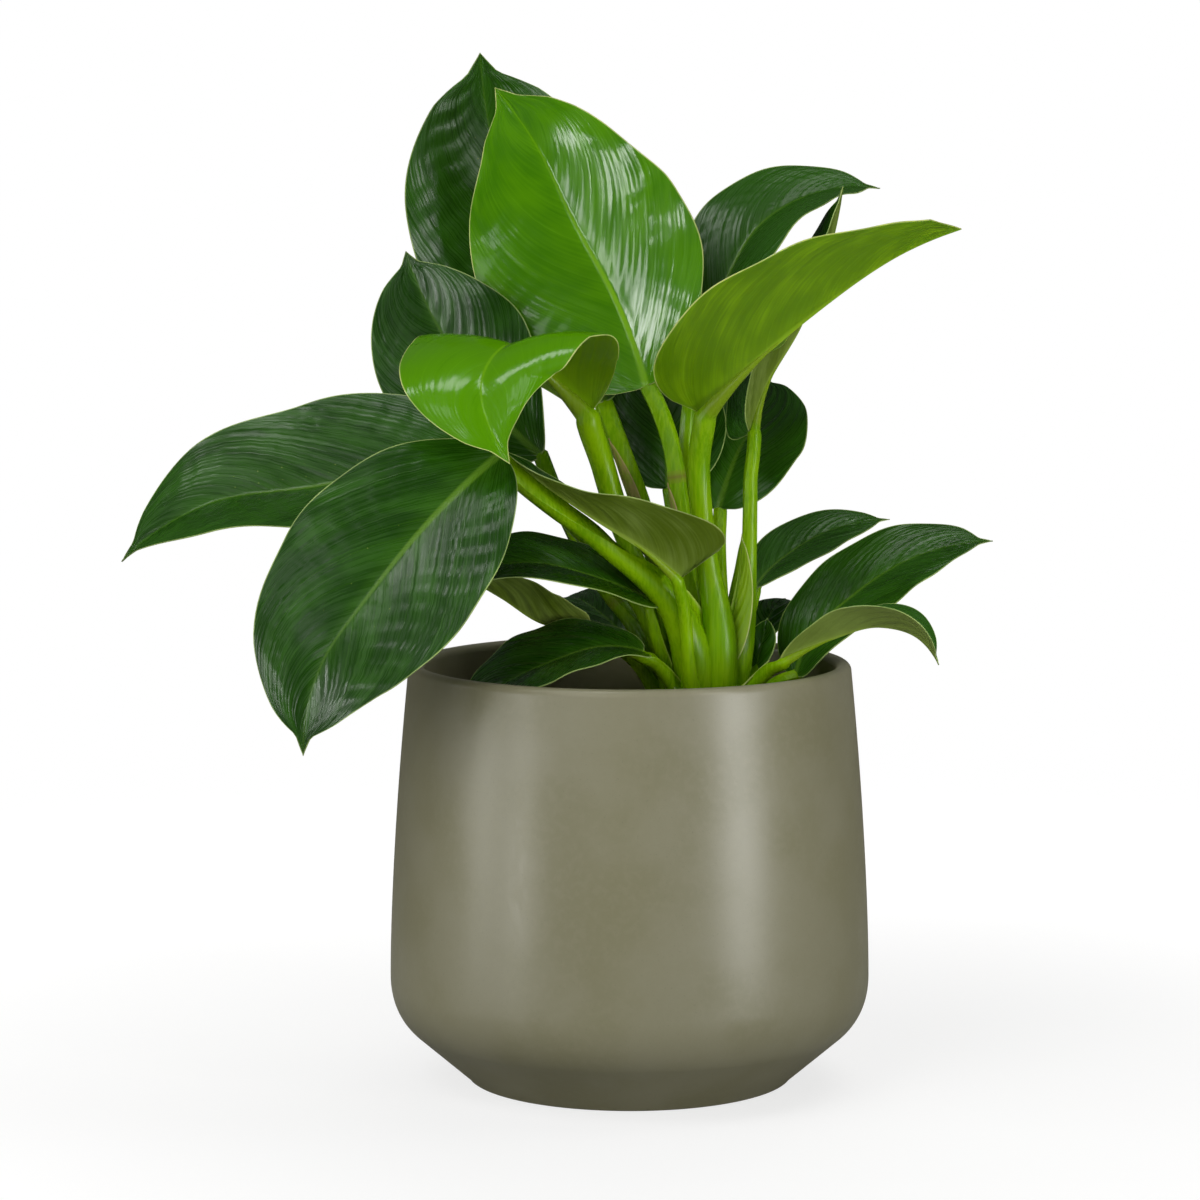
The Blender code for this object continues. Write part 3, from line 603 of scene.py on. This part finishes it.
def sheath_leaf(sheath):
    """A slim blade laid along one side of a stalk."""
    leaf = LEAVES[sheath.stalk]
    shares = np.linspace(*sheath.span, SHEATH_STEPS)
    path = stalk_path(leaf, shares)
    along = unit(np.gradient(path, axis=0))
    side = np.array(sheath.side) - along * (along @ np.array(sheath.side))[:, None]
    reach = np.interp(shares, (0, 1), leaf.thick) * (FULLNESS * stalk_flare(leaf, shares)) + BLADE_THICKNESS
    rib = path + unit(side) * reach[:, None]
    return Leaf(rib=list(rib), face=[sheath.side, sheath.side], width=sheath.width * SHEATH_FULLNESS,
                fold=(SHEATH_FOLD,) * 2, curl=(SHEATH_CURL[sheath.green],) * 2, belly=SHEATH_BELLY, lobe=0.0)


# ---------------------------------------------------------------- materials

# settings that many nodes share
COLOUR = {"data_type": "RGBA"}
EASED = {"interpolation_type": "SMOOTHSTEP"}
TIMES, PLUS, MINUS, FOLDED = ({"operation": way} for way in ("MULTIPLY", "ADD", "SUBTRACT", "PINGPONG"))
SOFT, CRUMBLY = 0.55, 0.65  # how much the finer layers of a noise count
PLANT_IOR = 1.45  # waxy leaf, dried scale, crown, and what is loose in the soil
STALK_IOR = 1.42
GLAZE_IOR = 1.5


def linear(code):
    """An sRGB hex colour in linear light."""
    parts = [int(code[i:i + 2], 16) / 255 for i in (1, 3, 5)]
    return (*[p / 12.92 if p <= 0.04045 else ((p + 0.055) / 1.055) ** 2.4 for p in parts], 1.0)


def add_node(tree, kind, *values, output=None, **settings):
    """A node with its settings made and its open inputs set or linked in order. Gives one of its outputs."""
    node = tree.nodes.new("ShaderNode" + kind)
    for key, value in settings.items():
        setattr(node, key, value)
    inputs = [socket for socket in node.inputs if socket.enabled]
    for socket, value in zip(inputs, values):
        if isinstance(value, bpy.types.NodeSocket):
            tree.links.new(value, socket)
        elif value is not None:
            socket.default_value = value
    return node.outputs[output] if output else next(socket for socket in node.outputs if socket.enabled)


def per_cell(*sizes):
    """What a place is multiplied by to give a noise's cells this size each way, or one size all ways."""
    return tuple(1.0 / size for size in sizes * (3 // len(sizes)))


def new_material(name):
    """A material, a way to add nodes to it, and its Principled shader."""
    made = bpy.data.materials.new(name)
    made.use_nodes = True
    return made, partial(add_node, made.node_tree), made.node_tree.nodes["Principled BSDF"]


def set_surface(shader, colour, roughness, height, depth_mm, ior, gloss=0.5):
    """Colour, roughness and a bump of a real depth into the shader."""
    tree = shader.id_data
    bump = add_node(tree, "Bump", 1.0, depth_mm * MM, None, height)
    for socket, source in (("Base Color", colour), ("Roughness", roughness), ("Normal", bump)):
        tree.links.new(source, shader.inputs[socket])
    shader.inputs["IOR"].default_value = ior
    shader.inputs["Specular IOR Level"].default_value = gloss


class LeafTones(NamedTuple):
    """Colours and finish of one side of a blade."""
    deep: str
    fresh: str
    vein: str
    rib: str
    margin: str
    roughness: tuple
    relief: float  # depth of the fine ribbing, in millimetres
    lit_through: float = 0.0  # share of the light that travels inside the blade


MATURE = LeafTones("#163C02", "#2A580C", "#4C8218", "#567F1E", "#A8C070", (0.23, 0.35), 0.10)
MATURE_BELOW = LeafTones("#566C14", "#7A903E", "#7C9432", "#8AA43A", "#B0BC64", (0.44, 0.56), 0.10)
YOUNG = LeafTones("#407C00", "#549100", "#6AAA08", "#7CB410", "#D4DE88", (0.12, 0.20), 0.05)
YOUNG_BELOW = LeafTones("#5E8602", "#7EA606", "#8EB412", "#8EB41E", "#D4DE88", (0.40, 0.52), 0.10, 0.6)
WING_GREEN = LeafTones("#7CA40A", "#8FB414", "#9CBC28", "#8CB014", "#DCE494", (0.36, 0.48), 0.06)

# A leaf's noises: cells across the veins and along them in millimetres, with no third way, and finer layers.
# The finest fibres of a real leaf are too close to show, so these are drawn coarser.
LEAF_FIBRES = ((1.5, 26.0, 1.0), 2.0)
LEAF_RIDGES = ((3.2, 90.0, 1.0), 0.0)
LEAF_SWELLS = ((8.0, 50.0, 1.0), 1.0)
LEAF_CLOUDS = ((22.0, 22.0, 1.0), 2.0)
MINOR_VEINS = 4  # finer veins to each main one
LIT_DEPTH = 1.2  # millimetres that light travels inside a young blade
LIT_COLOUR = (0.9, 1.0, 0.2)


def leaf_skin(name, tones):
    """Living leaf, waxy cuticle over fine parallel veins: broken streaks of gloss along the veins."""
    made, add, shader = new_material(name)
    veins = add("UVMap", uv_map="veins")
    phase = add("SeparateXYZ", veins)
    ratio = add("SeparateXYZ", add("UVMap", uv_map="place"))
    forward = add("SeparateXYZ", add("UVMap", uv_map="whole"))
    margin, tone = ratio.node.outputs["Y"], forward.node.outputs["Y"]
    fibres, ridges, swells, cloud = (
        add("TexNoise", add("VectorMath", veins, per_cell(*cell), **TIMES), 1.0, layers, SOFT)
        for cell, layers in (LEAF_FIBRES, LEAF_RIDGES, LEAF_SWELLS, LEAF_CLOUDS))

    # main side veins, broken here and there, with finer ones between them
    main = add("MapRange", add("Math", phase, VEIN_SPACING / 2, **FOLDED), 0.1, 0.6, 1.0, 0.0, **EASED)
    main = add("Math", main, add("MapRange", swells, 0.35, 0.65, **EASED), **TIMES)
    minor = add("Math", phase, VEIN_SPACING / (2 * MINOR_VEINS), **FOLDED)
    minor = add("MapRange", minor, 0.0, 0.5, 1.0, 0.0, **EASED)
    veined = add("Math", add("Math", main, 0.16, **TIMES), add("Math", minor, 0.04, **TIMES), **PLUS)

    # deep to fresh green in mottles, fresher for a leaf of a higher tone, which is partly its own green and
    # partly painted light and shade
    mottle = add("Math", add("Math", fibres, 0.35, **TIMES), add("Math", cloud, 0.65, **TIMES), **PLUS)
    mottle = add("Math", mottle, add("MapRange", tone, 0.0, 1.0, -0.10, 0.16, **EASED), **PLUS)
    mottle = add("MapRange", mottle, 0.36, 0.64, **EASED)

    # a soft glow beside the midrib, the midrib itself, fading towards the tip, and a pale, uneven margin
    glow = add("MapRange", ratio, 0.8, 6.0, 0.16, 0.0, **EASED)
    ribbed = add("Math", add("MapRange", ratio, 0.35, 1.1, 1.0, 0.0, **EASED),
                 add("MapRange", forward, 0.2, 0.8, 1.0, 0.35, **EASED), **TIMES)
    rimmed = add("Math", add("MapRange", margin, 0.12, 0.5, 1.0, 0.0, **EASED),
                 add("MapRange", cloud, 0.3, 0.7, 0.55, 1.0, **EASED), **TIMES)
    colour = linear(tones.deep)
    for share, tint in ((mottle, tones.fresh), (veined, tones.vein), (glow, tones.vein),
                        (ribbed, tones.rib), (rimmed, tones.margin)):
        colour = add("Mix", share, colour, linear(tint), **COLOUR)

    height = add("Math", add("Math", fibres, 0.3, **TIMES), add("Math", ridges, 1.7, **TIMES), **PLUS)
    height = add("Math", height, add("Math", swells, 4.0, **TIMES), **PLUS)
    height = add("Math", height, add("Math", main, 0.25, **TIMES), **MINUS)
    rough = add("MapRange", fibres, 0.3, 0.7, *tones.roughness, **EASED)
    set_surface(shader, colour, rough, height, tones.relief, PLANT_IOR)
    shader.inputs["Subsurface Weight"].default_value = tones.lit_through
    shader.inputs["Subsurface Radius"].default_value = LIT_COLOUR
    shader.inputs["Subsurface Scale"].default_value = LIT_DEPTH * MM
    return made


def stalk_skin(name, shade, skin, edge, midrib, scar):
    """Living leaf stalk, smooth and fleshy: faint long streaks, pale wing edges and a corky brown scar."""
    made, add, shader = new_material(name)
    where = add("TexCoord", output="Object")
    pale = add("SeparateXYZ", add("UVMap", uv_map="place"))
    # streaks 0.9 mm across and 22 mm long, and clouds 14 mm across and 30 mm long
    streaks, cloud = (
        add("TexNoise", add("VectorMath", where, per_cell(*cell), **TIMES), 1.0, 2.0, SOFT)
        for cell in ((0.9 * MM, 0.9 * MM, 22 * MM), (14 * MM, 14 * MM, 30 * MM)))
    mottle = add("Math", add("Math", streaks, 0.4, **TIMES), add("Math", cloud, 0.6, **TIMES), **PLUS)
    colour = linear(shade)
    for value, start, end, tint in ((mottle, 0.38, 0.62, skin), (pale, 0.35, 0.95, edge),
                                    (pale, 0.0, -RIBBED, midrib), (pale, -0.4, -SCARRED, scar)):
        share = add("MapRange", value, start, end, **EASED)
        colour = add("Mix", share, colour, linear(tint), **COLOUR)
    rough = add("MapRange", streaks, 0.3, 0.7, 0.22, 0.34, **EASED)
    set_surface(shader, colour, rough, streaks, 0.12, STALK_IOR, gloss=0.25)
    return made


def dry_sheath(name):
    """Dried scale leaf, papery and thin: tan to green, with fine lengthwise fibres and no gloss."""
    made, add, shader = new_material(name)
    veins = add("UVMap", uv_map="veins")
    margin = add("SeparateXYZ", add("UVMap", uv_map="place"), output="Y")
    where = add("TexCoord", output="Object")
    # fibres 0.7 mm across and 16 mm long, and patches of 9 mm where it browned
    fibres, patch = (
        add("TexNoise", add("VectorMath", place, per_cell(*cell), **TIMES), 1.0, layers, SOFT)
        for place, cell, layers in ((where, (0.7 * MM, 0.7 * MM, 16 * MM), 3.0),
                                    (veins, (9.0, 9.0, 1.0), 2.0)))
    patch = add("MapRange", patch, 0.4, 0.6, **EASED)
    fibrous = add("Math", fibres, 0.4, **TIMES)
    edge = add("MapRange", margin, 0.2, 0.6, 1.0, 0.0, **EASED)
    colour = linear("#8A9C2C")
    for share, tint in ((patch, "#A09450"), (fibrous, "#5E5826"), (edge, "#B5A36A")):
        colour = add("Mix", share, colour, linear(tint), **COLOUR)
    rough = add("MapRange", fibres, 0.3, 0.7, 0.55, 0.75, **EASED)
    set_surface(shader, colour, rough, fibres, 0.25, PLANT_IOR)
    return made


def matte_stoneware(name):
    """Slip-cast stoneware under a matte glaze: an even olive-taupe, finely mottled, softly shining."""
    made, add, shader = new_material(name)
    where = add("TexCoord", output="Object")
    # in millimetres: clouds where the glaze is thicker, its fine mottle, and dark specks from the clay
    cloud, mottle, speck = (
        add("TexNoise", add("VectorMath", where, per_cell(cell * MM), **TIMES), 1.0, layers, SOFT)
        for cell, layers in ((34, 2.0), (2.6, 3.0), (0.55, 1.0)))
    colour = linear("#7F7C60")
    for value, start, end, most, tint in ((cloud, 0.35, 0.65, 1.0, "#86836A"),
                                          (mottle, 0.42, 0.68, 0.3, "#8A876E"),
                                          (speck, 0.66, 0.78, 0.35, "#696650")):
        share = add("MapRange", value, start, end, 0.0, most, **EASED)
        colour = add("Mix", share, colour, linear(tint), **COLOUR)
    height = add("Math", add("Math", mottle, 0.6, **TIMES), add("Math", speck, 0.5, **TIMES), **PLUS)
    rough = add("MapRange", mottle, 0.35, 0.65, 0.33, 0.38, **EASED)
    set_surface(shader, colour, rough, height, 0.03, GLAZE_IOR)
    return made


def loose_matter(name, first, second, cell_mm, roughness, depth_mm):
    """A dry, crumbly natural matter in two tones: lumps, with finer crumbs on them, and no gloss."""
    made, add, shader = new_material(name)
    where = add("TexCoord", output="Object")
    lumps, fine = (
        add("TexNoise", add("VectorMath", where, per_cell(cell), **TIMES), 1.0, layers, finer)
        for cell, layers, finer in ((cell_mm * MM, 5.0, CRUMBLY), (cell_mm * MM / 6, 3.0, SOFT)))
    share = add("MapRange", lumps, 0.38, 0.62, **EASED)
    colour = add("Mix", share, linear(first), linear(second), **COLOUR)
    height = add("Math", lumps, add("Math", fine, 0.5, **TIMES), **PLUS)
    rough = add("MapRange", fine, 0.3, 0.7, roughness, min(1.0, roughness + 0.1), **EASED)
    set_surface(shader, colour, rough, height, depth_mm, PLANT_IOR)
    return made


# ---------------------------------------------------------------- pot, soil and crown

POT_HEIGHT = 148.5
FOOT_RADIUS = 58.0
FOOT_EDGE = 1.5
FOOT_ARC = (-90, -20, 6)  # degrees from, degrees to, points
LIP_ARC = (8, 172, 16)
CONE = (77.3, 17.7)  # radius and height where the cone above the foot starts to round into the belly
BELLY = (85.0, 37.0)  # radius and height where the pot is widest
RIM_RADIUS = 78.2
WALL_CURVE = 1.6  # how late, going up, the wall leans in
INNER_FLAT, OUTER_FLAT = 0.5, 0.7  # rings in the flat floor and the flat foot, against the foot's radius
OUTER_STEPS, INNER_STEPS = 20, 14
WALL = 5.5
FLOOR = 6.5  # thickness of the pot's floor
POT_SIDES = 160
HUB = 1.0  # radius of the smallest ring, round the middle

SOIL_TOP = 121.0
SOIL_GAP = 0.3  # between the soil and the pot
SOIL_EDGE = (6.0, 5.0)  # below its top, where the soil leaves the wall's line and where its edge starts
SOIL_RINGS = 60
SOIL_SIDES = 180
SOIL_HUB = 0.6  # radius of its smallest ring
SOIL_STEPS = 10
SOIL_DIP = 0.6  # how far its surface lies below its full height on average
SOIL_LUMPS = ((1.6, 16.0, 3.0), (1.3, 4.0, 7.0), (0.6, 1.6, 1.0))  # height, size across, layer of the noise

CHIP_REACH = 70.0  # how far from the pot's middle loose lumps lie
CHIP_CLEAR = 16.0  # and how far from the crown's
CHIP_ROWS, CHIP_SIDES = 4, 7
CHIP_TILT = 0.35  # radians
CHIP_SHOW = 0.35  # how far a lump's middle stands out of the soil, in half heights
CHIP_INNER = 0.02  # the least share of the soil's area that lies inside a lump's place
CHIP_BREADTH = (0.45, 0.8)  # least and most, against the length
CHIP_HEIGHT = (0.7, 1.2)  # against the kind's own flatness
CHIP_BUMPS = (0.78, 1.2)  # how far each corner lies from the middle

CROWN_STEPS, CROWN_SIDES = 46, 48
CROWN_RINGS = (0.45, 0.55)  # old scars round the crown: how far they stand out, and turns per millimetre


def arc(centre, radius, start, stop, steps):
    """Points on an arc in the (radius, height) plane, angles in degrees."""
    return [(centre[0] + radius * math.cos(math.radians(angle)),
             centre[1] + radius * math.sin(math.radians(angle)))
            for angle in np.linspace(start, stop, steps)]


def wall_side(inset, top, steps):
    """Pot side from the cone to the rim, moved in by the inset."""
    slope = CONE[1] / (CONE[0] - FOOT_RADIUS)
    corner = np.array([BELLY[0], CONE[1] + (BELLY[0] - CONE[0]) * slope])
    low, high = np.array(CONE), np.array(BELLY)
    side = []
    for t in np.linspace(0.0, 1.0, steps):
        radius, height = (1 - t) ** 2 * low + 2 * t * (1 - t) * corner + t * t * high
        side.append((radius - inset, height))
    for t in np.linspace(0.0, 1.0, steps)[1:]:
        radius = BELLY[0] + (RIM_RADIUS - BELLY[0]) * t ** WALL_CURVE
        side.append((radius - inset, BELLY[1] + (top - BELLY[1]) * t))
    return side


def make_pot(finish):
    """The pot: a narrow foot, a flared shoulder, a wall that leans in and a round rim."""
    lip = WALL / 2
    top = POT_HEIGHT - lip
    outer = arc((FOOT_RADIUS - FOOT_EDGE, FOOT_EDGE), FOOT_EDGE, *FOOT_ARC)
    rim = arc((RIM_RADIUS - lip, top), lip, *LIP_ARC)
    inner = wall_side(WALL, top, INNER_STEPS)[::-1]
    profile = [(HUB, 0.0), (FOOT_RADIUS * OUTER_FLAT, 0.0), *outer, *wall_side(0.0, top, OUTER_STEPS), *rim,
               *inner, (FOOT_RADIUS - WALL, FLOOR), (FOOT_RADIUS * INNER_FLAT, FLOOR), (HUB, FLOOR)]
    return closed_rings("pot_stoneware", circles(profile, POT_SIDES), finish, sharp=40)


def soil_height(x, y):
    """Height of the loose soil's surface."""
    hills, crumbs, grit = (height * noise.noise(Vector((x / size, y / size, layer)))
                           for height, size, layer in SOIL_LUMPS)
    return SOIL_TOP - SOIL_DIP + hills + (crumbs + grit)


def make_soil(finish):
    """Potting mix up to its uneven surface."""
    wall = wall_side(WALL + SOIL_GAP, POT_HEIGHT - WALL / 2, SOIL_STEPS)
    radii, heights = zip(*wall)
    edge = float(np.interp(SOIL_TOP, heights, radii))
    profile = [(HUB, FLOOR + SOIL_GAP), (FOOT_RADIUS - WALL - 2 * SOIL_GAP, FLOOR + SOIL_GAP)]
    profile += [(radius, height) for radius, height in wall if height < SOIL_TOP - SOIL_EDGE[0]]
    profile += [(edge, SOIL_TOP - SOIL_EDGE[1])]
    profile += [(radius, SOIL_TOP) for radius in np.linspace(edge, SOIL_HUB, SOIL_RINGS)]
    rings = circles(profile, SOIL_SIDES)
    for ring in rings[-SOIL_RINGS:]:
        for point in ring:
            point[2] = soil_height(point[0], point[1])
    return closed_rings("potting_mix", rings, finish, sharp=80)


def small_ball():
    """A coarse round body of radius one, from its bottom point to its top one."""
    points = [(0.0, 0.0, -1.0)]
    for row in range(CHIP_ROWS):
        polar = math.pi * (row + 1) / (CHIP_ROWS + 1)
        for column in range(CHIP_SIDES):
            turn = math.tau * column / CHIP_SIDES
            points.append((math.sin(polar) * math.cos(turn), math.sin(polar) * math.sin(turn),
                           -math.cos(polar)))
    points.append((0.0, 0.0, 1.0))
    top, last = len(points) - 1, 1 + (CHIP_ROWS - 1) * CHIP_SIDES
    faces = []
    for column in range(CHIP_SIDES):
        beside = (column + 1) % CHIP_SIDES
        faces += [(0, 1 + beside, 1 + column), (top, last + column, last + beside)]
        for low in range(1, last, CHIP_SIDES):
            high = low + CHIP_SIDES
            faces.append((low + column, low + beside, high + beside, high + column))
    return np.array(points), faces


def make_chips(name, count, sizes, flat, finish, rng):
    """Loose lumps lying in the top of the soil, as one piece."""
    ball, ball_faces = small_ball()
    points, faces = [], []
    for _ in range(count):
        reach, angle = CHIP_REACH * math.sqrt(rng.uniform(CHIP_INNER, 1.0)), rng.uniform(0, math.tau)
        x, y = reach * math.cos(angle), reach * math.sin(angle)
        if math.hypot(x - CROWN_CENTRE[0], y - CROWN_CENTRE[1]) < CHIP_CLEAR:
            continue
        size = rng.uniform(*sizes)
        shape = np.array([size, size * rng.uniform(*CHIP_BREADTH),
                          size * flat * rng.uniform(*CHIP_HEIGHT)]) / 2
        heading = rng.uniform(0, math.tau)
        tilt = rng.uniform(-CHIP_TILT, CHIP_TILT)
        spin = np.array([[math.cos(heading), -math.sin(heading), 0],
                         [math.sin(heading), math.cos(heading), 0],
                         [0, 0, 1]])
        lean = np.array([[math.cos(tilt), 0, math.sin(tilt)],
                         [0, 1, 0],
                         [-math.sin(tilt), 0, math.cos(tilt)]])
        lump = ball * rng.uniform(*CHIP_BUMPS, (len(ball), 1))
        lump = (lump * shape) @ (spin @ lean).T + (x, y, soil_height(x, y) + shape[2] * CHIP_SHOW)
        faces += [tuple(len(points) + corner for corner in face) for face in ball_faces]
        points += lump.tolist()
    return finish_mesh(name, points, faces, {}, [finish], sharp=35)


def make_crown(finish):
    """The short stem that every stalk grows from, ringed by old leaf scars."""
    out, turns = CROWN_RINGS
    profile = [(crown_radius(height) + out * abs(math.sin(height * turns)), height)
               for height in np.linspace(CROWN_PROFILE[0][1], CROWN_PROFILE[-1][1], CROWN_STEPS)]
    return closed_rings("crown", circles(profile, CROWN_SIDES, CROWN_CENTRE), finish)


# ---------------------------------------------------------------- stage, lights and camera

CAMERA_PLACE = (-0.0105, -1.411, 0.328)
CAMERA_PITCH = 6.38  # degrees down from level
CAMERA_LENS = 120.8
SENSOR_WIDTH = 36.0
CLIP_RANGE = (0.05, 20.0)
STAGE_RADIUS = 0.8
STAGE_SIDES = 96
FLOOR_SPECK = 0.4  # metres across the floor's faint clouds
STAGE_DROP = 0.0002  # how far the floor lies below the foot, so they never share a plane
STAGE_FADE = (0.25, 0.7)  # where the floor starts to fade out and where it has gone
STAGE_GLOW = (0.74, 0.90)  # brightness of the floor itself, near the pot and at its edge
GLOW_RANGE = (0.1, 0.6)
ROOM_LIGHT = 0.06  # light from all round
LIGHT_AIM = (0.0, 0.0, 0.18)
LIGHT_REACH = 1.5

# Degrees round from the front, degrees up, size in metres, brightness, and what the light does: it fills the
# shade and leaves no shine, or it only shines, or, flagged, it only shines on the pot and the stalks.
LIGHTS = (
    ("softbox_left", -32, 14, (0.9, 1.1), 2.6, "fills"),
    ("softbox_side", -74, 18, (0.8, 0.9), 2.6, "fills"),
    ("softbox_right", 34, 10, (0.8, 0.7), 0.9, "fills"),
    ("softbox_high", -40, 52, (0.7, 0.7), 3.3, "fills"),
    ("softbox_back", 115, 64, (0.9, 0.8), 2.6, "fills"),
    ("softbox_rear", 172, 24, (1.3, 0.9), 2.6, "fills"),
    ("softbox_low", 24, -9, (1.1, 0.3), 2.4, "fills"),
    ("strip_left", -74, -4, (0.18, 0.6), 8.0, "shines"),
    ("strip_right", 54, -1, (0.28, 0.7), 16.0, "fills"),
    ("strip_right_flagged", 54, -1, (0.28, 0.7), 18.5, "flagged"),
    ("card_low_left", -53, -8, (0.17, 0.40), 15.0, "shines"),
    ("card_side_left", -83, 9, (0.24, 0.24), 15.0, "shines"),
    ("card_high_left", -74, 52, (0.34, 0.34), 6.0, "shines"),
    ("card_top", -52, 76, (0.40, 0.40), 5.0, "shines"),
    ("card_front", -28, 36, (0.26, 0.44), 2.0, "shines"),
    ("card_front_low", -19, 18, (0.22, 0.18), 4.0, "shines"),
    ("card_right", 84, 64, (0.5, 0.4), 2.4, "shines"),
    ("card_upper_right", 50, 30, (0.3, 0.6), 9.0, "shines"),
)


def make_stage():
    """A pale floor that fades out, so no horizon shows."""
    turn = np.linspace(0, math.tau, STAGE_SIDES, endpoint=False)
    points = [(STAGE_RADIUS * math.cos(a), STAGE_RADIUS * math.sin(a), -STAGE_DROP) for a in turn]
    mesh = bpy.data.meshes.new("floor")
    mesh.from_pydata(points, [], [tuple(range(len(points)))])
    floor = link_object("floor", mesh)
    mesh.materials.append(painted_floor("studio_floor_painted"))


def painted_floor(name):
    """Painted studio floor, dead matte: a pale, nearly even grey that soaks up shine and fades to white."""
    made, add, shader = new_material(name)
    tree = made.node_tree
    where = add("TexCoord", output="Object")
    reach = add("VectorMath", where, operation="LENGTH")
    speck = add("TexNoise", add("VectorMath", where, per_cell(FLOOR_SPECK), **TIMES), 1.0, 1.0, SOFT)
    tint = add("Mix", speck, linear("#8C8C8B"), linear("#929291"), **COLOUR)
    glow = add("MapRange", reach, *GLOW_RANGE, *STAGE_GLOW, **EASED)
    glow = add("Math", add("LightPath", output="Is Camera Ray"), glow, **TIMES)
    tree.links.new(tint, shader.inputs["Base Color"])
    tree.links.new(glow, shader.inputs["Emission Strength"])
    shader.inputs["Emission Color"].default_value = linear("#FFFFFF")
    shader.inputs["Roughness"].default_value = 0.9
    shader.inputs["Specular IOR Level"].default_value = 0.0
    gone = add("MapRange", reach, *STAGE_FADE, **EASED)
    mixed = add("MixShader", gone, shader.outputs[0], add("BsdfTransparent"))
    tree.links.new(mixed, tree.nodes["Material Output"].inputs["Surface"])
    return made


def add_light(name, around, height, size, brightness, work, smooth):
    """One light, aimed at the plant. A flagged one reaches the smooth pieces alone."""
    data = bpy.data.lights.new(name, "AREA")
    data.shape = "RECTANGLE"
    data.size, data.size_y = size
    data.energy = brightness * math.pi * size[0] * size[1]
    light = link_object(name, data)
    turn, rise = math.radians(around), math.radians(height)
    toward = Vector((math.sin(turn) * math.cos(rise), -math.cos(turn) * math.cos(rise), math.sin(rise)))
    light.location = Vector(LIGHT_AIM) + toward * LIGHT_REACH
    light.rotation_euler = (-toward).to_track_quat("-Z", "Y").to_euler()
    light.visible_diffuse, light.visible_glossy = work == "fills", work != "fills"
    if work == "flagged":
        reach = bpy.data.collections.new(name + "_reach")
        for piece in smooth:
            reach.objects.link(piece)
        light.light_linking.receiver_collection = reach


def make_studio(smooth):
    """White surroundings that give little light of their own, and the lights."""
    scene = bpy.context.scene
    scene.view_settings.view_transform = "Standard"
    world = bpy.data.worlds.new("studio")
    scene.world = world
    world.use_nodes = True
    tree = world.node_tree
    background = tree.nodes["Background"]
    seen = add_node(tree, "LightPath", output="Is Camera Ray")
    strength = add_node(tree, "MapRange", seen, 0.0, 1.0, ROOM_LIGHT, 1.0, **EASED)
    background.inputs["Color"].default_value = linear("#FFFFFF")
    tree.links.new(strength, background.inputs["Strength"])
    for light in LIGHTS:
        add_light(*light, smooth)


def make_camera():
    """The camera at the viewing angle."""
    data = bpy.data.cameras.new("camera")
    data.lens = CAMERA_LENS
    data.sensor_width = SENSOR_WIDTH
    data.clip_start, data.clip_end = CLIP_RANGE
    camera = link_object("camera", data)
    camera.location = CAMERA_PLACE
    camera.rotation_euler = (math.radians(90 - CAMERA_PITCH), 0.0, 0.0)
    bpy.context.scene.camera = camera


# ---------------------------------------------------------------- build

SEED = 11  # of the random draws, so that each run gives the same plant


def build():
    """Make every piece, the studio and the camera."""
    rng = np.random.default_rng(SEED)
    mature = [leaf_skin("living_leaf_waxy_upper", MATURE),
              leaf_skin("living_leaf_matte_underside", MATURE_BELOW)]
    young = [leaf_skin("young_leaf_waxy_upper", YOUNG),
             leaf_skin("young_leaf_matte_underside", YOUNG_BELOW)]
    stalk = stalk_skin("living_stalk_fleshy", "#6A9C02", "#86B204", "#CCDE70", "#7E9C1C", "#7B6A32")
    wing = leaf_skin("living_sheath_fleshy", WING_GREEN)
    paper = dry_sheath("dried_sheath_papery")
    pot = matte_stoneware("stoneware_slip_cast_matte_glaze")
    # peat: nearly black and dull. Bark: red-brown chips, a little smoother. Perlite: chalky, off-white puffed
    # grains. The crown's skin: green gone corky.
    peat = loose_matter("potting_peat_loose", "#1E1610", "#38291C", 5.0, 0.88, 0.8)
    bark = loose_matter("pine_bark_chipped", "#3A2618", "#5A3E28", 4.0, 0.80, 0.4)
    perlite = loose_matter("perlite_expanded", "#C9C5BA", "#E4E1D8", 1.5, 0.85, 0.2)
    skin = loose_matter("crown_skin_scarred", "#4A5A18", "#6E7A2A", 6.0, 0.55, 0.3)
    smooth = [place_piece(make_pot(pot), "pot_ceramic", "pot")]
    place_piece(make_soil(peat), "potting_soil", "soil")
    place_piece(make_chips("bark_chips", 260, (4, 10), 0.5, bark, rng), "potting_soil")
    place_piece(make_chips("perlite_grains", 110, (1.8, 3.6), 0.9, perlite, rng), "potting_soil")
    place_piece(make_crown(skin), "crown", "crown_stem")
    for name, leaf in LEAVES.items():
        blade = make_blade("blade_" + name, leaf, young if leaf.young else mature, rng)
        place_piece(blade, "leaf_young" if leaf.young else "leaf_mature", "leaf_" + name)
        smooth.append(place_piece(make_stalk("petiole_" + name, leaf, stalk), "stalk", "stalk_" + name))
    for name, sheath in SHEATHS.items():
        finish = wing if sheath.green else paper
        scale = make_blade("scale_" + name, sheath_leaf(sheath), [finish, finish], rng)
        place_piece(scale, "sheath", "sheath_" + name)
    make_stage()
    make_studio(smooth)
    make_camera()


build()
